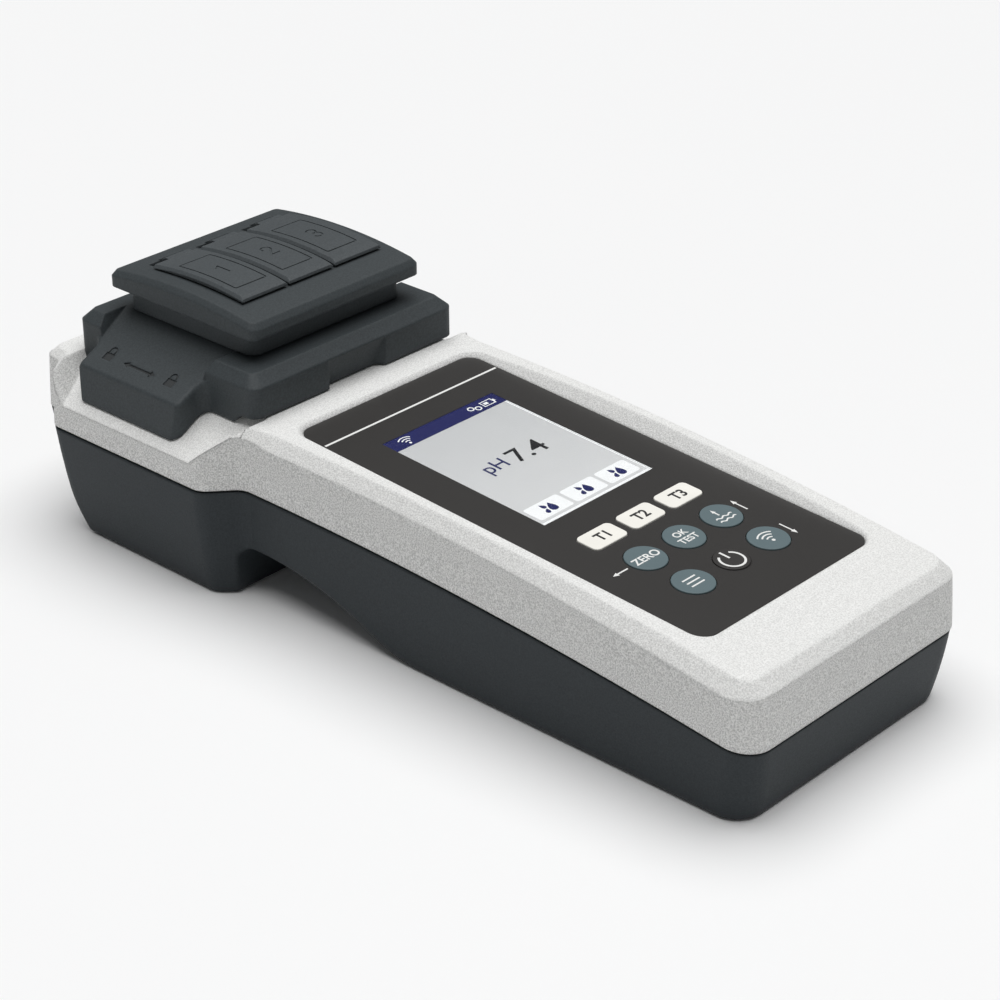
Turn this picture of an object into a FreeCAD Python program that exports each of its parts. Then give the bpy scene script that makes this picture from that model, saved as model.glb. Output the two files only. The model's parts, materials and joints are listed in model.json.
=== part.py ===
import FreeCAD, Part
import math
import os
from FreeCAD import Vector

# Handheld pool water photometer with a cuvette head.
# Frame: millimetres, +Z up, base on Z = 0, +Y from the handle towards the cuvette head,
# +X to the user's right. The origin is the bottom centre of the bounding box.

# ---------------------------------------------------------------- driving dimensions
LENGTH = 221.0            # over the seam flange, near end to far end
HANDLE_W = 38.2           # half width of the handle at the seam
HEAD_W = 46.0             # half width of the cuvette head at the seam
LOBE_W = 39.4             # half width of the short far lobe at the seam
WALL = 2.2                # housing wall
DECK_WALL = 2.4           # wall under the top deck

NEAR_Y = -LENGTH / 2
FAR_Y = LENGTH / 2
STEP_Y0 = 38.75           # where the side leaves the handle
STEP_Y1 = 45.75           # where it reaches the head width
BACK_Y = 98.75            # where the head narrows again
BACK_STEP = 5.0
NEAR_R = 7.0
LOBE_R = 5.0

SEAM_Z = 28.0             # seam level round the head
SEAM_APEX_Y = 37.25       # towards the near end the seam drops along one big arc
SEAM_R = 1100.0
SEAM_GAP = 0.3            # half of the gasket line

DECK_Z = 43.6             # top of the deck under the adapter
DECK_APEX_Y = 31.25
DECK_R = 940.0
BEVEL = 3.0               # 45 degree bevel along the handle's deck
HEAD_BEVEL = 1.9          # and round the head's deck
BEVEL_Y1 = 39.0           # where the first has narrowed to the second
NEAR_BEVEL_Y = -104.5
NEAR_BEVEL_DROP = 1.9     # bevel over the near wall
NEAR_BEVEL_RUN = 2.8

# finger grip under the handle: two tangent arcs and the near wall of the head
GRIP_Y0 = -14.75          # the handle's base leaves the table here
GRIP_Y1 = 35.25           # top of the finger grip
GRIP_Z = 12.3
GRIP_R0 = 30.0
GRIP_WALL_Y = 41.0        # near wall of the head
GRIP_CORNER_R = 3.0
GRIP_WALL_LEAN = 2.2      # how far that wall leans back towards the table
HEEL_Y0 = 91.25           # the heel under the far end: foot, bend and slope
HEEL_Y1 = 97.2
HEEL_Z = 14.0

# saddles for the adapter wings, on both sides of the head
SADDLE_X = 45.2
SADDLE_Z = 34.5
SADDLE_SLOPE = 0.58
SADDLE_Y0 = 49.25
SADDLE_Y1 = 95.0
SADDLE_NEAR_SLOPE = 0.85
SADDLE_FAR_SLOPE = 1.6

# label plane: tilted, its own frame starts at the middle of the near edge
LABEL_TILT = 3.58
LABEL_Y = -90.75
LABEL_Z = 35.15
LABEL_W = 29.0
LABEL_L = 120.5
LABEL_R = 3.9
FILM = 0.6                # label thickness
FLOOR = 1.8               # housing floor under the label
RECESS_FLARE = 1.25       # the recess wall leans outwards this much per mm of height

SCREEN_W = 18.4
SCREEN_Y0 = 53.5
SCREEN_Y1 = 103.4
PANEL_W = 21.4
PANEL_Y0 = 47.5
PANEL_Y1 = 107.0
PANEL_TOP = -0.75

KEY_PITCH = 12.95
ROW_T = 41.6
ROW_A = 29.2
ROW_B = 16.05
KEY_R = 4.87
POWER_R = 4.2
T_KEY = (10.9, 6.7, 1.5)
KEY_GAP = 0.2
KEY_PROUD = 0.3
KEY_TRAVEL = 0.5
BOARD_TOP = -6.4          # in the label frame
BOARD_T = 1.6
STEM_Z = -3.4             # end of a key's stem
PLUNGER_Z = -3.95         # top of a switch
BOARD_SCREWS = [(24.4, 8.0), (24.4, 112.0)]
KEYS = {
    "key_t1": (-KEY_PITCH, ROW_T),
    "key_t2": (0.0, ROW_T),
    "key_t3": (KEY_PITCH, ROW_T),
    "key_zero": (-KEY_PITCH, ROW_A),
    "key_ok": (0.0, ROW_A),
    "key_up": (KEY_PITCH, ROW_A),
    "key_menu": (-KEY_PITCH, ROW_B),
    "key_power": (0.0, ROW_B),
    "key_wireless": (KEY_PITCH, ROW_B),
}

# cuvette station
HEAD_Y = 70.25            # middle of the cuvettes and of the lid
PITCH = 15.0
STATIONS = (-PITCH, 0.0, PITCH)
CUV_X = 12.8
CUV_Y = 26.0
CUV_WALL = 1.2
CUV_PLAY = 0.15           # round a cuvette in the adapter
CUV_Z0 = 12.6
CUV_Z1 = 57.4
TRAVEL = 5.0              # adapter lock travel, towards the handle

# hatch in the deck for the adapter's skirt and its locking lugs
HATCH_W = 25.0
HATCH_Y0 = 49.25
HATCH_Y1 = 88.25
LUG_REACH = 27.0
LUG_HALF = 2.3
LUG_YS = (61.5, 78.0)

# optics block under the deck
OPT_W = 28.8
OPT_Y0 = 47.15
OPT_Y1 = 90.95
OPT_Z0 = 10.5
OPT_Z1 = 38.9
OPT_RIM_Z1 = 41.1
WELL_X = 13.4
WELL_Y0 = 51.85
WELL_Y1 = 83.65
WELL_Z0 = 12.2
BEAM_Z = 26.0             # light path through the cuvettes
OPTICS_EAR_Z1 = 33.5
OPTICS_EAR_T = 2.5
OPTICS_SCREWS = [(32.0, 53.25), (32.0, 85.25)]
LED_BOARD_Y0 = 44.15
LED_BOARD_Y1 = 45.75
SENSOR_BOARD_Y0 = 92.15
SENSOR_BOARD_Y1 = 93.75
SMALL_BOARD_W = 22.0
SMALL_BOARD_Z0 = 16.0
SMALL_BOARD_Z1 = 38.0
LED_FLANGE_R = 2.9
LED_R = 2.4

# adapter
ADP_GAP = 0.5
ADP_Z0 = DECK_Z + ADP_GAP
ADP_Z1 = 54.2
ADP_W = 33.4
ADP_Y0 = 38.75
ADP_Y1 = 101.75
ADP_R = 3.0               # upright corners
ADP_ROOF = 2.6            # wall under the top and the wings
WING_W = 42.9
WING_X0 = 24.0            # the slope of the wings starts here, at the adapter's top
WING_X1 = 41.7            # and ends here, at the wings' outer edge
WING_Z1 = 45.4
WING_LOW_Z = 36.0
WING_RIM = 1.1            # soft rim round the slope
WING_Y0 = 56.25
WING_Y1 = 92.25
WING_FALL = (ADP_Z1 - WING_Z1) / (WING_X1 - WING_X0)
RELIEF_LEAN = 2.6         # the slope's ends in the block lean outwards, rise over run
SKIRT_W = 24.6
SKIRT_Y0 = 54.55
SKIRT_Y1 = 87.95
SKIRT_Z0 = 39.3
ADP_CHAMFER = 2.6
ADP_NEAR_RUN = 3.1        # the bevel is longer over the near face
SCOOP = 2.1               # depth of the shallow finger scoop at the foot of the near face
SCOOP_X0 = 7.5            # half width at its floor
SCOOP_X1 = 10.4           # and in the near face
COLLAR_W = 22.4
COLLAR_HALF = 20.9
COLLAR_Z1 = 56.6
COLLAR_WALL = 0.8
SEAL_W = 29.0
SEAL_T = 1.4
SEAL_Y0 = 42.25
SEAL_Y1 = 98.25
SEAL_DEPTH = 1.2
MARK_X = 37.1             # middle line of the marks on the wings
MARK_Y = 74.65            # middle of the double arrow
MARK_NEAR = 10.95         # from there to the open padlock
MARK_FAR = 11.15          # and to the closed padlock
MARK_DEPTH = 0.35

# lid with three flaps
LID_W = 27.8
LID_Y0 = 44.4
LID_Y1 = 95.7
LID_R = 2.4
LID_Z0 = 60.4
LID_EDGE_Z = 64.15        # lid top over its near and far edges
LID_CHAMFER = 1.3
LID_RISE = 2.1            # the lid's top arches up by this much between them
NECK_W = 24.7
NECK_Y0 = 48.0
NECK_Y1 = 92.6
NECK_R = 3.2
NECK_WALL = 1.0
NECK_Z0 = 54.45
LID_CEILING = 59.6
FLAP_W = 14.4
FLAP_END = 1.1            # the last flap reaches further out
FLAP_BEVEL = 0.7
FLAP_Y0 = 53.55
FLAP_Y1 = 85.2
AXIS_Y = 87.25            # flap hinge axis
AXIS_Z = 64.0
BARREL_R = 2.0
BARREL_X0 = 1.5           # reach of a hinge barrel on both sides of its flap's middle
BARREL_X1 = 6.1
PIN_R = 0.8
ROD_X0 = 24.0
ROD_X1 = 23.5
PORT_W = 5.8
PORT_Y0 = 58.65
PORT_Y1 = 81.85
BARREL_PLAY = 0.3
SLOT_X0 = 5.5             # small open pocket beside each barrel
SLOT_Y0 = 85.5
SLOT_Y1 = 88.9
FIELD_W = 5.05            # half width of the numbered field
FIELD_Y0 = 58.2
FIELD_Y1 = 78.5
FIELD_LINE = 0.4
DIGIT_X = 0.4             # middle of the digit, from the flap's middle
DIGIT_Y = 68.6
DIGIT_SIZE = 1.26         # scale of the drawn digits
DIGIT_STROKE = 0.45
SUNK = 0.3                # depth of digits and field lines
FLAP_Z0 = 65.95
FLAP_CREST_Y = 68.4       # highest line of a flap's top
FLAP_CREST_Z = 68.1
FLAP_BACK_Z = 66.65
PLUG_Z0 = 64.6

# case screws: x, y and the level of the head's seat
CASE_SCREWS = [(31.2, -101.0, 6.5), (31.2, -14.0, 6.5), (38.5, 62.0, 6.5), (31.0, 98.5, 19.5)]
CASE_SCREW_BITE = 6.0     # thread above the seam

# battery bay under the handle
CELL_R = 7.25
CELL_L = 50.5
CELL_PITCH = 14.55
CELL_Y0 = -84.8           # near edge of the bay
BAY_L = 58.8
BAY_W = 27.4
BAY_TOP = 17.8
BAY_WALL = 2.2
CELL_Z = BAY_TOP - 0.3 - CELL_R
COVER_W = 28.7
COVER_Y0 = CELL_Y0 - 4.8
COVER_Y1 = CELL_Y0 + BAY_L + 4.8
COVER_T = 2.2
COVER_SEAL = 0.5
COVER_PLAY = 0.2
COVER_SCREWS = [(22.0, CELL_Y0 - 2.3), (-22.0, CELL_Y0 + BAY_L + 2.3)]


# ---------------------------------------------------------------- small helpers
def box(x0, x1, y0, y1, z0, z1):
    return Part.makeBox(x1 - x0, y1 - y0, z1 - z0, Vector(x0, y0, z0))


def rod(x, y, z0, z1, r):
    return Part.makeCylinder(r, z1 - z0, Vector(x, y, z0))


def rod_x(x0, x1, y, z, r):
    return Part.makeCylinder(r, x1 - x0, Vector(x0, y, z), Vector(1, 0, 0))


def rod_y(x, y0, y1, z, r):
    return Part.makeCylinder(r, y1 - y0, Vector(x, y0, z), Vector(0, 1, 0))


def fuse(shapes):
    return shapes[0].multiFuse(shapes[1:]).removeSplitter()


def mirrored(shape):
    return shape.mirror(Vector(0, 0, 0), Vector(1, 0, 0))


def both_sides(shape):
    return [shape, mirrored(shape)]


def rounded_wire(points, z):
    """Closed wire through (x, y, corner radius) points at height z."""
    count = len(points)
    corners = []
    for i, (x, y, r) in enumerate(points):
        here = Vector(x, y, z)
        before = Vector(points[i - 1][0], points[i - 1][1], z)
        after = Vector(points[(i + 1) % count][0], points[(i + 1) % count][1], z)
        a = (before - here).normalize()
        b = (after - here).normalize()
        half = a.getAngle(b) / 2
        reach = r / math.tan(half)
        start = here + a * reach
        end = here + b * reach
        middle = here + (a + b).normalize() * (r / math.sin(half) - r)
        corners.append((start, middle, end))
    edges = []
    for i, (start, middle, end) in enumerate(corners):
        edges.append(Part.Arc(start, middle, end).toShape())
        following = corners[(i + 1) % count][0]
        if (following - end).Length > 1e-6:
            edges.append(Part.LineSegment(end, following).toShape())
    return Part.Wire(edges)


def rect_wire(x0, x1, y0, y1, r, z):
    return rounded_wire([(x0, y0, r), (x1, y0, r), (x1, y1, r), (x0, y1, r)], z)


def plate(wire, height):
    return Part.Face(wire).extrude(Vector(0, 0, height))


def rounded_box(x0, x1, y0, y1, r, z0, z1):
    return plate(rect_wire(x0, x1, y0, y1, r, z0), z1 - z0)


def profile_x(points, half):
    """Prism along X from a closed (y, z) polygon, from -half to +half."""
    path = [Vector(-half, y, z) for y, z in points]
    wire = Part.makePolygon(path + [path[0]])
    return Part.Face(wire).extrude(Vector(2 * half, 0, 0))


def profile_y(points, y0, y1):
    """Prism along Y from a closed (x, z) polygon."""
    path = [Vector(x, y0, z) for x, z in points]
    wire = Part.makePolygon(path + [path[0]])
    return Part.Face(wire).extrude(Vector(0, y1 - y0, 0))


def on_label(shape):
    """Place a shape made in the label frame."""
    placed = shape.copy()
    placed.rotate(Vector(0, 0, 0), Vector(1, 0, 0), LABEL_TILT)
    placed.translate(Vector(0, LABEL_Y, LABEL_Z))
    return placed


# ---------------------------------------------------------------- the curved levels
def seam_z(y):
    if y > SEAM_APEX_Y:
        return SEAM_Z
    return SEAM_Z - SEAM_R + math.sqrt(SEAM_R ** 2 - (y - SEAM_APEX_Y) ** 2)


def deck_z(y):
    if y > DECK_APEX_Y:
        return DECK_Z
    return DECK_Z - DECK_R + math.sqrt(DECK_R ** 2 - (y - DECK_APEX_Y) ** 2)


def under_level(level, apex_y, lift, z_low):
    """Everything below a level that is one arc up to apex_y and flat beyond it."""
    y_start = NEAR_Y - 10
    y_mid = (y_start + apex_y) / 2
    y_end = FAR_Y + 10
    start = Vector(-60, y_start, level(y_start) + lift)
    middle = Vector(-60, y_mid, level(y_mid) + lift)
    apex = Vector(-60, apex_y, level(apex_y) + lift)
    end = Vector(-60, y_end, level(apex_y) + lift)
    low_end = Vector(-60, y_end, z_low)
    low_start = Vector(-60, y_start, z_low)
    edges = [Part.Arc(start, middle, apex).toShape(),
             Part.LineSegment(apex, end).toShape(),
             Part.LineSegment(end, low_end).toShape(),
             Part.LineSegment(low_end, low_start).toShape(),
             Part.LineSegment(low_start, start).toShape()]
    return Part.Face(Part.Wire(edges)).extrude(Vector(120, 0, 0))


def under_seam(lift):
    return under_level(seam_z, SEAM_APEX_Y, lift, -20)


def under_deck(lift):
    return under_level(deck_z, DECK_APEX_Y, lift, -20)


def under_label(depth):
    """Everything deeper than depth below the label's plane."""
    return on_label(box(-60, 60, -60, 230, -90, -depth))


# ---------------------------------------------------------------- housing outline
def case_wire(z, handle, head, lobe, near, back, far, inset):
    """Plan outline of the housing at height z, moved inwards by inset."""
    slide = 0.45 * inset
    neck = back + BACK_STEP
    room = far - neck - inset + slide
    right = [(handle - inset, near + inset, NEAR_R - inset),
             (handle - inset, STEP_Y0 + slide, 5 + inset),
             (head - inset, STEP_Y1 + slide, 5 - inset),
             (head - inset, back - slide, 4 - inset),
             (lobe - inset, neck - slide, min(2.5 + inset, 0.6 * room)),
             (lobe - inset, far - inset, min(LOBE_R - inset, 0.6 * room))]
    left = [(-x, y, r) for x, y, r in reversed(right)]
    return rounded_wire(right + left, z)


def case_loft(sections, inset):
    wires = [case_wire(*section, inset) for section in sections]
    return Part.makeLoft(wires, True, False)


LOWER_SECTIONS = [(-1.0, 35.9, 42.3, 36.4, NEAR_Y + 3.6, BACK_Y - 4.0, FAR_Y - 6.0),
                  (14.0, 37.6, 45.0, 38.4, NEAR_Y + 0.9, BACK_Y - 2.4, FAR_Y - 3.6),
                  (31.0, HANDLE_W, HEAD_W, LOBE_W, NEAR_Y, BACK_Y, FAR_Y)]
UPPER_SECTIONS = [(12.0, HANDLE_W, HEAD_W, LOBE_W, NEAR_Y, BACK_Y, FAR_Y),
                  (28.0, 38.0, 45.8, 39.2, NEAR_Y + 0.9, BACK_Y, FAR_Y - 0.3),
                  (48.0, 37.2, 44.6, 38.3, NEAR_Y + 2.6, BACK_Y - 0.4, FAR_Y - 1.4)]


def grip_cutter(wall):
    """Space under the handle; wall moves its surface into the housing."""
    span = GRIP_Y1 - GRIP_Y0
    radii = (span ** 2 + GRIP_Z ** 2) / (2 * GRIP_Z)
    r0 = GRIP_R0 - wall
    r1 = radii - GRIP_R0 + wall
    turn = math.atan2(span, radii - GRIP_Z)
    c0 = (GRIP_Y0, GRIP_R0)
    c1 = (GRIP_Y1, GRIP_Z - radii + GRIP_R0)

    def on_first(angle):
        return Vector(-60, c0[0] + r0 * math.sin(angle), c0[1] - r0 * math.cos(angle))

    def on_second(angle):
        return Vector(-60, c1[0] - r1 * math.sin(angle), c1[1] + r1 * math.cos(angle))

    start = on_first(0)
    join = on_first(turn)
    top = on_second(0)
    r = GRIP_CORNER_R
    wall_y = GRIP_WALL_Y + wall
    corner = Vector(-60, wall_y - r, top.z)
    bend = Vector(-60, wall_y - r + r * math.sin(math.pi / 4), top.z - r + r * math.cos(math.pi / 4))
    wall_top = Vector(-60, wall_y, top.z - r)
    wall_low = Vector(-60, wall_y + GRIP_WALL_LEAN, -20)
    low = Vector(-60, GRIP_Y0, -20)
    edges = [Part.Arc(start, on_first(turn / 2), join).toShape(),
             Part.Arc(join, on_second(turn / 2), top).toShape(),
             Part.LineSegment(top, corner).toShape(),
             Part.Arc(corner, bend, wall_top).toShape(),
             Part.LineSegment(wall_top, wall_low).toShape(),
             Part.LineSegment(wall_low, low).toShape(),
             Part.LineSegment(low, start).toShape()]
    return Part.Face(Part.Wire(edges)).extrude(Vector(120, 0, 0))


def heel_cutter(wall):
    """Sloped heel under the far end of the head."""
    return profile_x([(FAR_Y + 15, -20), (FAR_Y + 15, 30 + wall * 2.2),
                      (HEEL_Y1 - wall * 0.9, HEEL_Z), (HEEL_Y0 - wall * 0.9, wall * 0.3),
                      (80.0, -20)], 60)


def saddle_cutter(drop, near_shift=0.0):
    """Space above one saddle (the +X one); drop lowers its surfaces."""
    low = SADDLE_Z - drop
    reach = 60.0
    top = 80.0

    def prism_x(points):
        path = [Vector(0, y, z) for y, z in points]
        return Part.Face(Part.makePolygon(path + [path[0]])).extrude(Vector(reach, 0, 0))

    rise = top - low
    near = SADDLE_Y0 + near_shift
    ends = prism_x([(near, low), (SADDLE_Y1, low),
                    (SADDLE_Y1 + rise / SADDLE_FAR_SLOPE, top),
                    (near - rise / SADDLE_NEAR_SLOPE, top)])
    slope = profile_y([(SADDLE_X + 10, low - 10 * SADDLE_SLOPE), (SADDLE_X + 10, top), (0, top),
                       (0, low + SADDLE_X * SADDLE_SLOPE)], -100, 200)
    return ends.common(slope)


# ---------------------------------------------------------------- housing halves
def edges_where(shape, test):
    """Edges whose points at both ends and in the middle all pass the test."""
    found = []
    for edge in shape.Edges:
        first, last = edge.ParameterRange
        points = [edge.valueAt(first + (last - first) * k) for k in (0.02, 0.5, 0.98)]
        if all(test(p) for p in points):
            found.append(edge)
    return found


def make_lower_case():
    outer = case_loft(LOWER_SECTIONS, 0)
    outer = outer.common(box(-60, 60, -150, 150, 0, 60))
    outer = outer.common(under_seam(-SEAM_GAP))
    outer = outer.cut(fuse([grip_cutter(0), heel_cutter(0)])).Solids[0]
    rim = edges_where(outer, lambda p: p.z < 0.05)
    outer = outer.makeFillet(1.4, rim)
    inner = case_loft(LOWER_SECTIONS, WALL)
    inner = inner.common(box(-60, 60, -150, 150, WALL, 60))
    inner = inner.cut(fuse([grip_cutter(WALL), heel_cutter(WALL)]))
    shell = outer.cut(inner)
    bay_y1 = CELL_Y0 + BAY_L
    seat_z = COVER_T + COVER_SEAL
    bay = rounded_box(-BAY_W - BAY_WALL, BAY_W + BAY_WALL, CELL_Y0 - BAY_WALL, bay_y1 + BAY_WALL,
                      2, 0, BAY_TOP + 1.2)
    rim_plate = rounded_box(-COVER_W - 1.5, COVER_W + 1.5, COVER_Y0 - 1.5, COVER_Y1 + 1.5, 2.5,
                            0, seat_z + 1.8)
    lugs = [rod(x, y, seat_z, 9, 2.4) for x, y in COVER_SCREWS]
    tubes = []
    bores = [rod(x, y, 1, 8.2, 1.0) for x, y in COVER_SCREWS]
    for x, y, screw_z in CASE_SCREWS:
        column = rod(x, y, 0.5, 40, 3.6).common(under_seam(-SEAM_GAP))
        tubes += both_sides(column)
        bores += both_sides(rod(x, y, -1, screw_z, 3.0))
        bores += both_sides(rod(x, y, screw_z - 1, 40, 1.65))
    shell = fuse([shell, bay, rim_plate] + lugs + tubes).common(outer)
    seat = rounded_box(-COVER_W, COVER_W, COVER_Y0, COVER_Y1, 2, -1, seat_z)
    cells = box(-BAY_W, BAY_W, CELL_Y0, bay_y1, 0, BAY_TOP)
    return shell.cut([seat, cells] + bores)


def bevel_corner(y, c):
    """Section of the cutter for a bevel along the handle's deck."""
    side = HANDLE_W - 0.5
    points = [Vector(side - c - 1, y, DECK_Z + 1), Vector(side + 3, y, DECK_Z + 1),
              Vector(side + 3, y, DECK_Z - c - 3)]
    return Part.makePolygon(points + [points[0]])


def near_bevel():
    """Cutter for the near end of the deck with its two corners."""
    c = BEVEL
    side = HANDLE_W - 0.5
    slope = NEAR_BEVEL_RUN / NEAR_BEVEL_DROP
    tilt = math.asin((DECK_APEX_Y - NEAR_BEVEL_Y + 3) / DECK_R)
    radius = DECK_R - NEAR_BEVEL_DROP
    wall_y = NEAR_Y + 1.6
    local = DECK_APEX_Y + (wall_y - DECK_APEX_Y + radius * math.sin(tilt)) / math.cos(tilt)
    low_y = local - slope * (c - NEAR_BEVEL_DROP)
    low = rect_wire(-side, side, low_y, low_y + 60, NEAR_R, DECK_Z - c)
    high = rect_wire(-side + c + 2, side - c - 2, low_y + slope * (c + 2), low_y + 60, NEAR_R - c - 2,
                     DECK_Z + 2)
    kept = Part.makeLoft([low, high], True, True)
    block = box(-60, 60, local - 10, local + 12.5, DECK_Z - c, DECK_Z + 1.9).cut(kept)
    block.rotate(Vector(0, DECK_APEX_Y, DECK_Z - DECK_R), Vector(1, 0, 0), math.degrees(tilt))
    return block


def deck_bevels():
    """Cutters that bevel the deck rim: handle sides, near end with its corners, head."""
    centre = Vector(0, DECK_APEX_Y, DECK_Z - DECK_R)
    section = bevel_corner(DECK_APEX_Y, BEVEL)
    turn = math.degrees(math.asin((DECK_APEX_Y - NEAR_BEVEL_Y) / DECK_R))
    cutters = both_sides(Part.Face(section).revolve(centre, Vector(1, 0, 0), turn))
    taper = Part.makeLoft([section, bevel_corner(BEVEL_Y1, HEAD_BEVEL)], True, True)
    cutters += both_sides(taper)
    cutters.append(near_bevel())

    c = HEAD_BEVEL
    outline = (HANDLE_W - 0.7, HEAD_W - 1.2, LOBE_W - 0.85, NEAR_Y, BACK_Y - 0.3, FAR_Y - 1.1)
    low = case_wire(DECK_Z - c, *outline, 0)
    high = case_wire(DECK_Z + 2, *outline, c + 2)
    kept = Part.makeLoft([low, high], True, True)
    cutters.append(box(-60, 60, BEVEL_Y1, 150, DECK_Z - c, DECK_Z + 1.9).cut(kept))
    return cutters


def make_upper_case():
    above_seam = box(-60, 60, -150, 150, 0, 60).cut(under_seam(SEAM_GAP))
    outer = case_loft(UPPER_SECTIONS, 0).common(under_deck(0)).common(above_seam)
    outer = outer.cut(deck_bevels())
    outer = outer.cut(both_sides(saddle_cutter(0)))
    inner = case_loft(UPPER_SECTIONS, WALL)
    inner = inner.common(under_deck(-DECK_WALL)).common(under_label(FILM + FLOOR))
    drop = DECK_WALL / math.cos(math.atan(SADDLE_SLOPE))
    inner = inner.cut(both_sides(saddle_cutter(drop)))
    inner = inner.cut(box(-60, 60, NEAR_Y - 5, NEAR_Y + 7, 29.5, 60))
    shell = outer.cut(inner)

    columns = []
    bores = []
    for x, y, _ in CASE_SCREWS:
        columns += both_sides(rod(x, y, 10, 42, 3.3))
        bores += both_sides(rod(x, y, 0, seam_z(y) + CASE_SCREW_BITE + 1, 1.5))
    for x, y in OPTICS_SCREWS:
        columns += both_sides(rod(x, y, OPTICS_EAR_Z1, 42, 2.8))
        bores += both_sides(rod(x, y, 0, OPTICS_EAR_Z1 + 5, 1.1))
    for x, y in BOARD_SCREWS:
        columns += [on_label(post) for post in both_sides(rod(x, y, BOARD_TOP, 0, 2.6))]
        bores += [on_label(hole) for hole in both_sides(rod(x, y, -20, BOARD_TOP + 3.6, 1.1))]
    low_columns = [c.common(above_seam).common(outer) for c in columns]
    shell = fuse([shell] + low_columns)

    recess = rounded_box(-LABEL_W - 0.15, LABEL_W + 0.15, -0.15, LABEL_L + 0.15, LABEL_R, -FILM, 0)
    low = rect_wire(-LABEL_W - 0.15, LABEL_W + 0.15, -0.15, LABEL_L + 0.15, LABEL_R, 0)
    flare = RECESS_FLARE * 4.0
    high = rect_wire(-LABEL_W - flare, LABEL_W + flare, -flare, LABEL_L + flare, LABEL_R + flare, 4.0)
    openings = [on_label(recess), on_label(Part.makeLoft([low, high], True, True))]
    window = box(-PANEL_W - 0.3, PANEL_W + 0.3, PANEL_Y0 - 0.3, PANEL_Y1 + 0.3, -6, 0)
    openings.append(on_label(window))
    openings += [on_label(key_outline(name, KEY_GAP, -6, 6)) for name in KEYS]
    hatch = rounded_box(-HATCH_W, HATCH_W, HATCH_Y0, HATCH_Y1, 2, DECK_Z - 6, DECK_Z + 5)
    openings.append(hatch)
    for y in LUG_YS:
        notch_y = y - TRAVEL
        openings += both_sides(box(HATCH_W - 1, LUG_REACH + 0.4, notch_y - LUG_HALF - 0.35,
                                   notch_y + LUG_HALF + 0.35, DECK_Z - 6, DECK_Z + 5))
    return shell.cut(openings + bores)


# ---------------------------------------------------------------- keys
def key_outline(name, grow, z0, z1):
    x, y = KEYS[name]
    if name.startswith("key_t"):
        w, h, r = T_KEY
        return rounded_box(x - w / 2 - grow, x + w / 2 + grow, y - h / 2 - grow, y + h / 2 + grow,
                           r + grow, z0, z1)
    radius = POWER_R if name == "key_power" else KEY_R
    return rod(x, y, z0, z1, radius + grow)


def make_key(name):
    """Key cap, retaining flange under the housing floor and the stem over its switch."""
    x, y = KEYS[name]
    under = -FILM - FLOOR
    cap = key_outline(name, 0, under - 0.4, KEY_PROUD)
    top = [edge for edge in cap.Edges if all(abs(v.Z - KEY_PROUD) < 1e-6 for v in edge.Vertexes)]
    cap = cap.makeFillet(0.25, top)
    flange = key_outline(name, 0.7, under - 0.9, under - 0.05)
    stem = rod(x, y, STEM_Z, under - 0.5, 1.6)
    return on_label(fuse([cap, flange, stem]))


def make_label():
    film = rounded_box(-LABEL_W, LABEL_W, 0, LABEL_L, LABEL_R, -FILM, 0)
    cuts = [box(-SCREEN_W, SCREEN_W, SCREEN_Y0, SCREEN_Y1, -2, 2)]
    cuts += [key_outline(name, KEY_GAP, -2, 2) for name in KEYS]
    return on_label(film.cut(cuts))


def make_window():
    return on_label(box(-SCREEN_W + 0.05, SCREEN_W - 0.05, SCREEN_Y0 + 0.05, SCREEN_Y1 - 0.05,
                        -FILM - 0.1, -0.05))


def make_display():
    body = rounded_box(-PANEL_W, PANEL_W, PANEL_Y0, PANEL_Y1, 0.8, PANEL_TOP - 2.6, PANEL_TOP)
    tail = box(-9, 9, PANEL_Y1 - 1, PANEL_Y1 + 4.0, PANEL_TOP - 2.6, PANEL_TOP - 2.3)
    return on_label(fuse([body, tail]))


def make_display_foam():
    z1 = PANEL_TOP - 2.65
    ring = box(-PANEL_W, PANEL_W, PANEL_Y0, PANEL_Y1, BOARD_TOP, z1)
    return on_label(ring.cut(box(-PANEL_W + 3, PANEL_W - 3, PANEL_Y0 + 3, PANEL_Y1 - 3, -9, 0)))


def make_board():
    board = rounded_box(-27.4, 27.4, 1.6, 118.5, 1.5, BOARD_TOP - BOARD_T, BOARD_TOP)
    holes = []
    for x, y in BOARD_SCREWS:
        holes += both_sides(rod(x, y, -20, 0, 1.35))
    return on_label(board.cut(holes))


def make_switches():
    shapes = []
    for x, y in KEYS.values():
        body = box(x - 3, x + 3, y - 3, y + 3, BOARD_TOP, BOARD_TOP + 1.7)
        shapes.append(on_label(fuse([body, rod(x, y, BOARD_TOP + 1, PLUNGER_Z, 1.5)])))
    return Part.makeCompound(shapes)


def make_chips():
    """Packages on the underside of the main board."""
    z1 = BOARD_TOP - BOARD_T
    chips = [(-18, -6, 58, 70, 1.6), (2, 12, 60, 70, 1.4), (-16, 14, 92, 106, 2.4),
             (-20, -11, 28, 35, 1.2), (6, 18, 30, 40, 2.0)]
    return Part.makeCompound([on_label(box(x0, x1, y0, y1, z1 - h, z1)) for x0, x1, y0, y1, h in chips])


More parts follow.
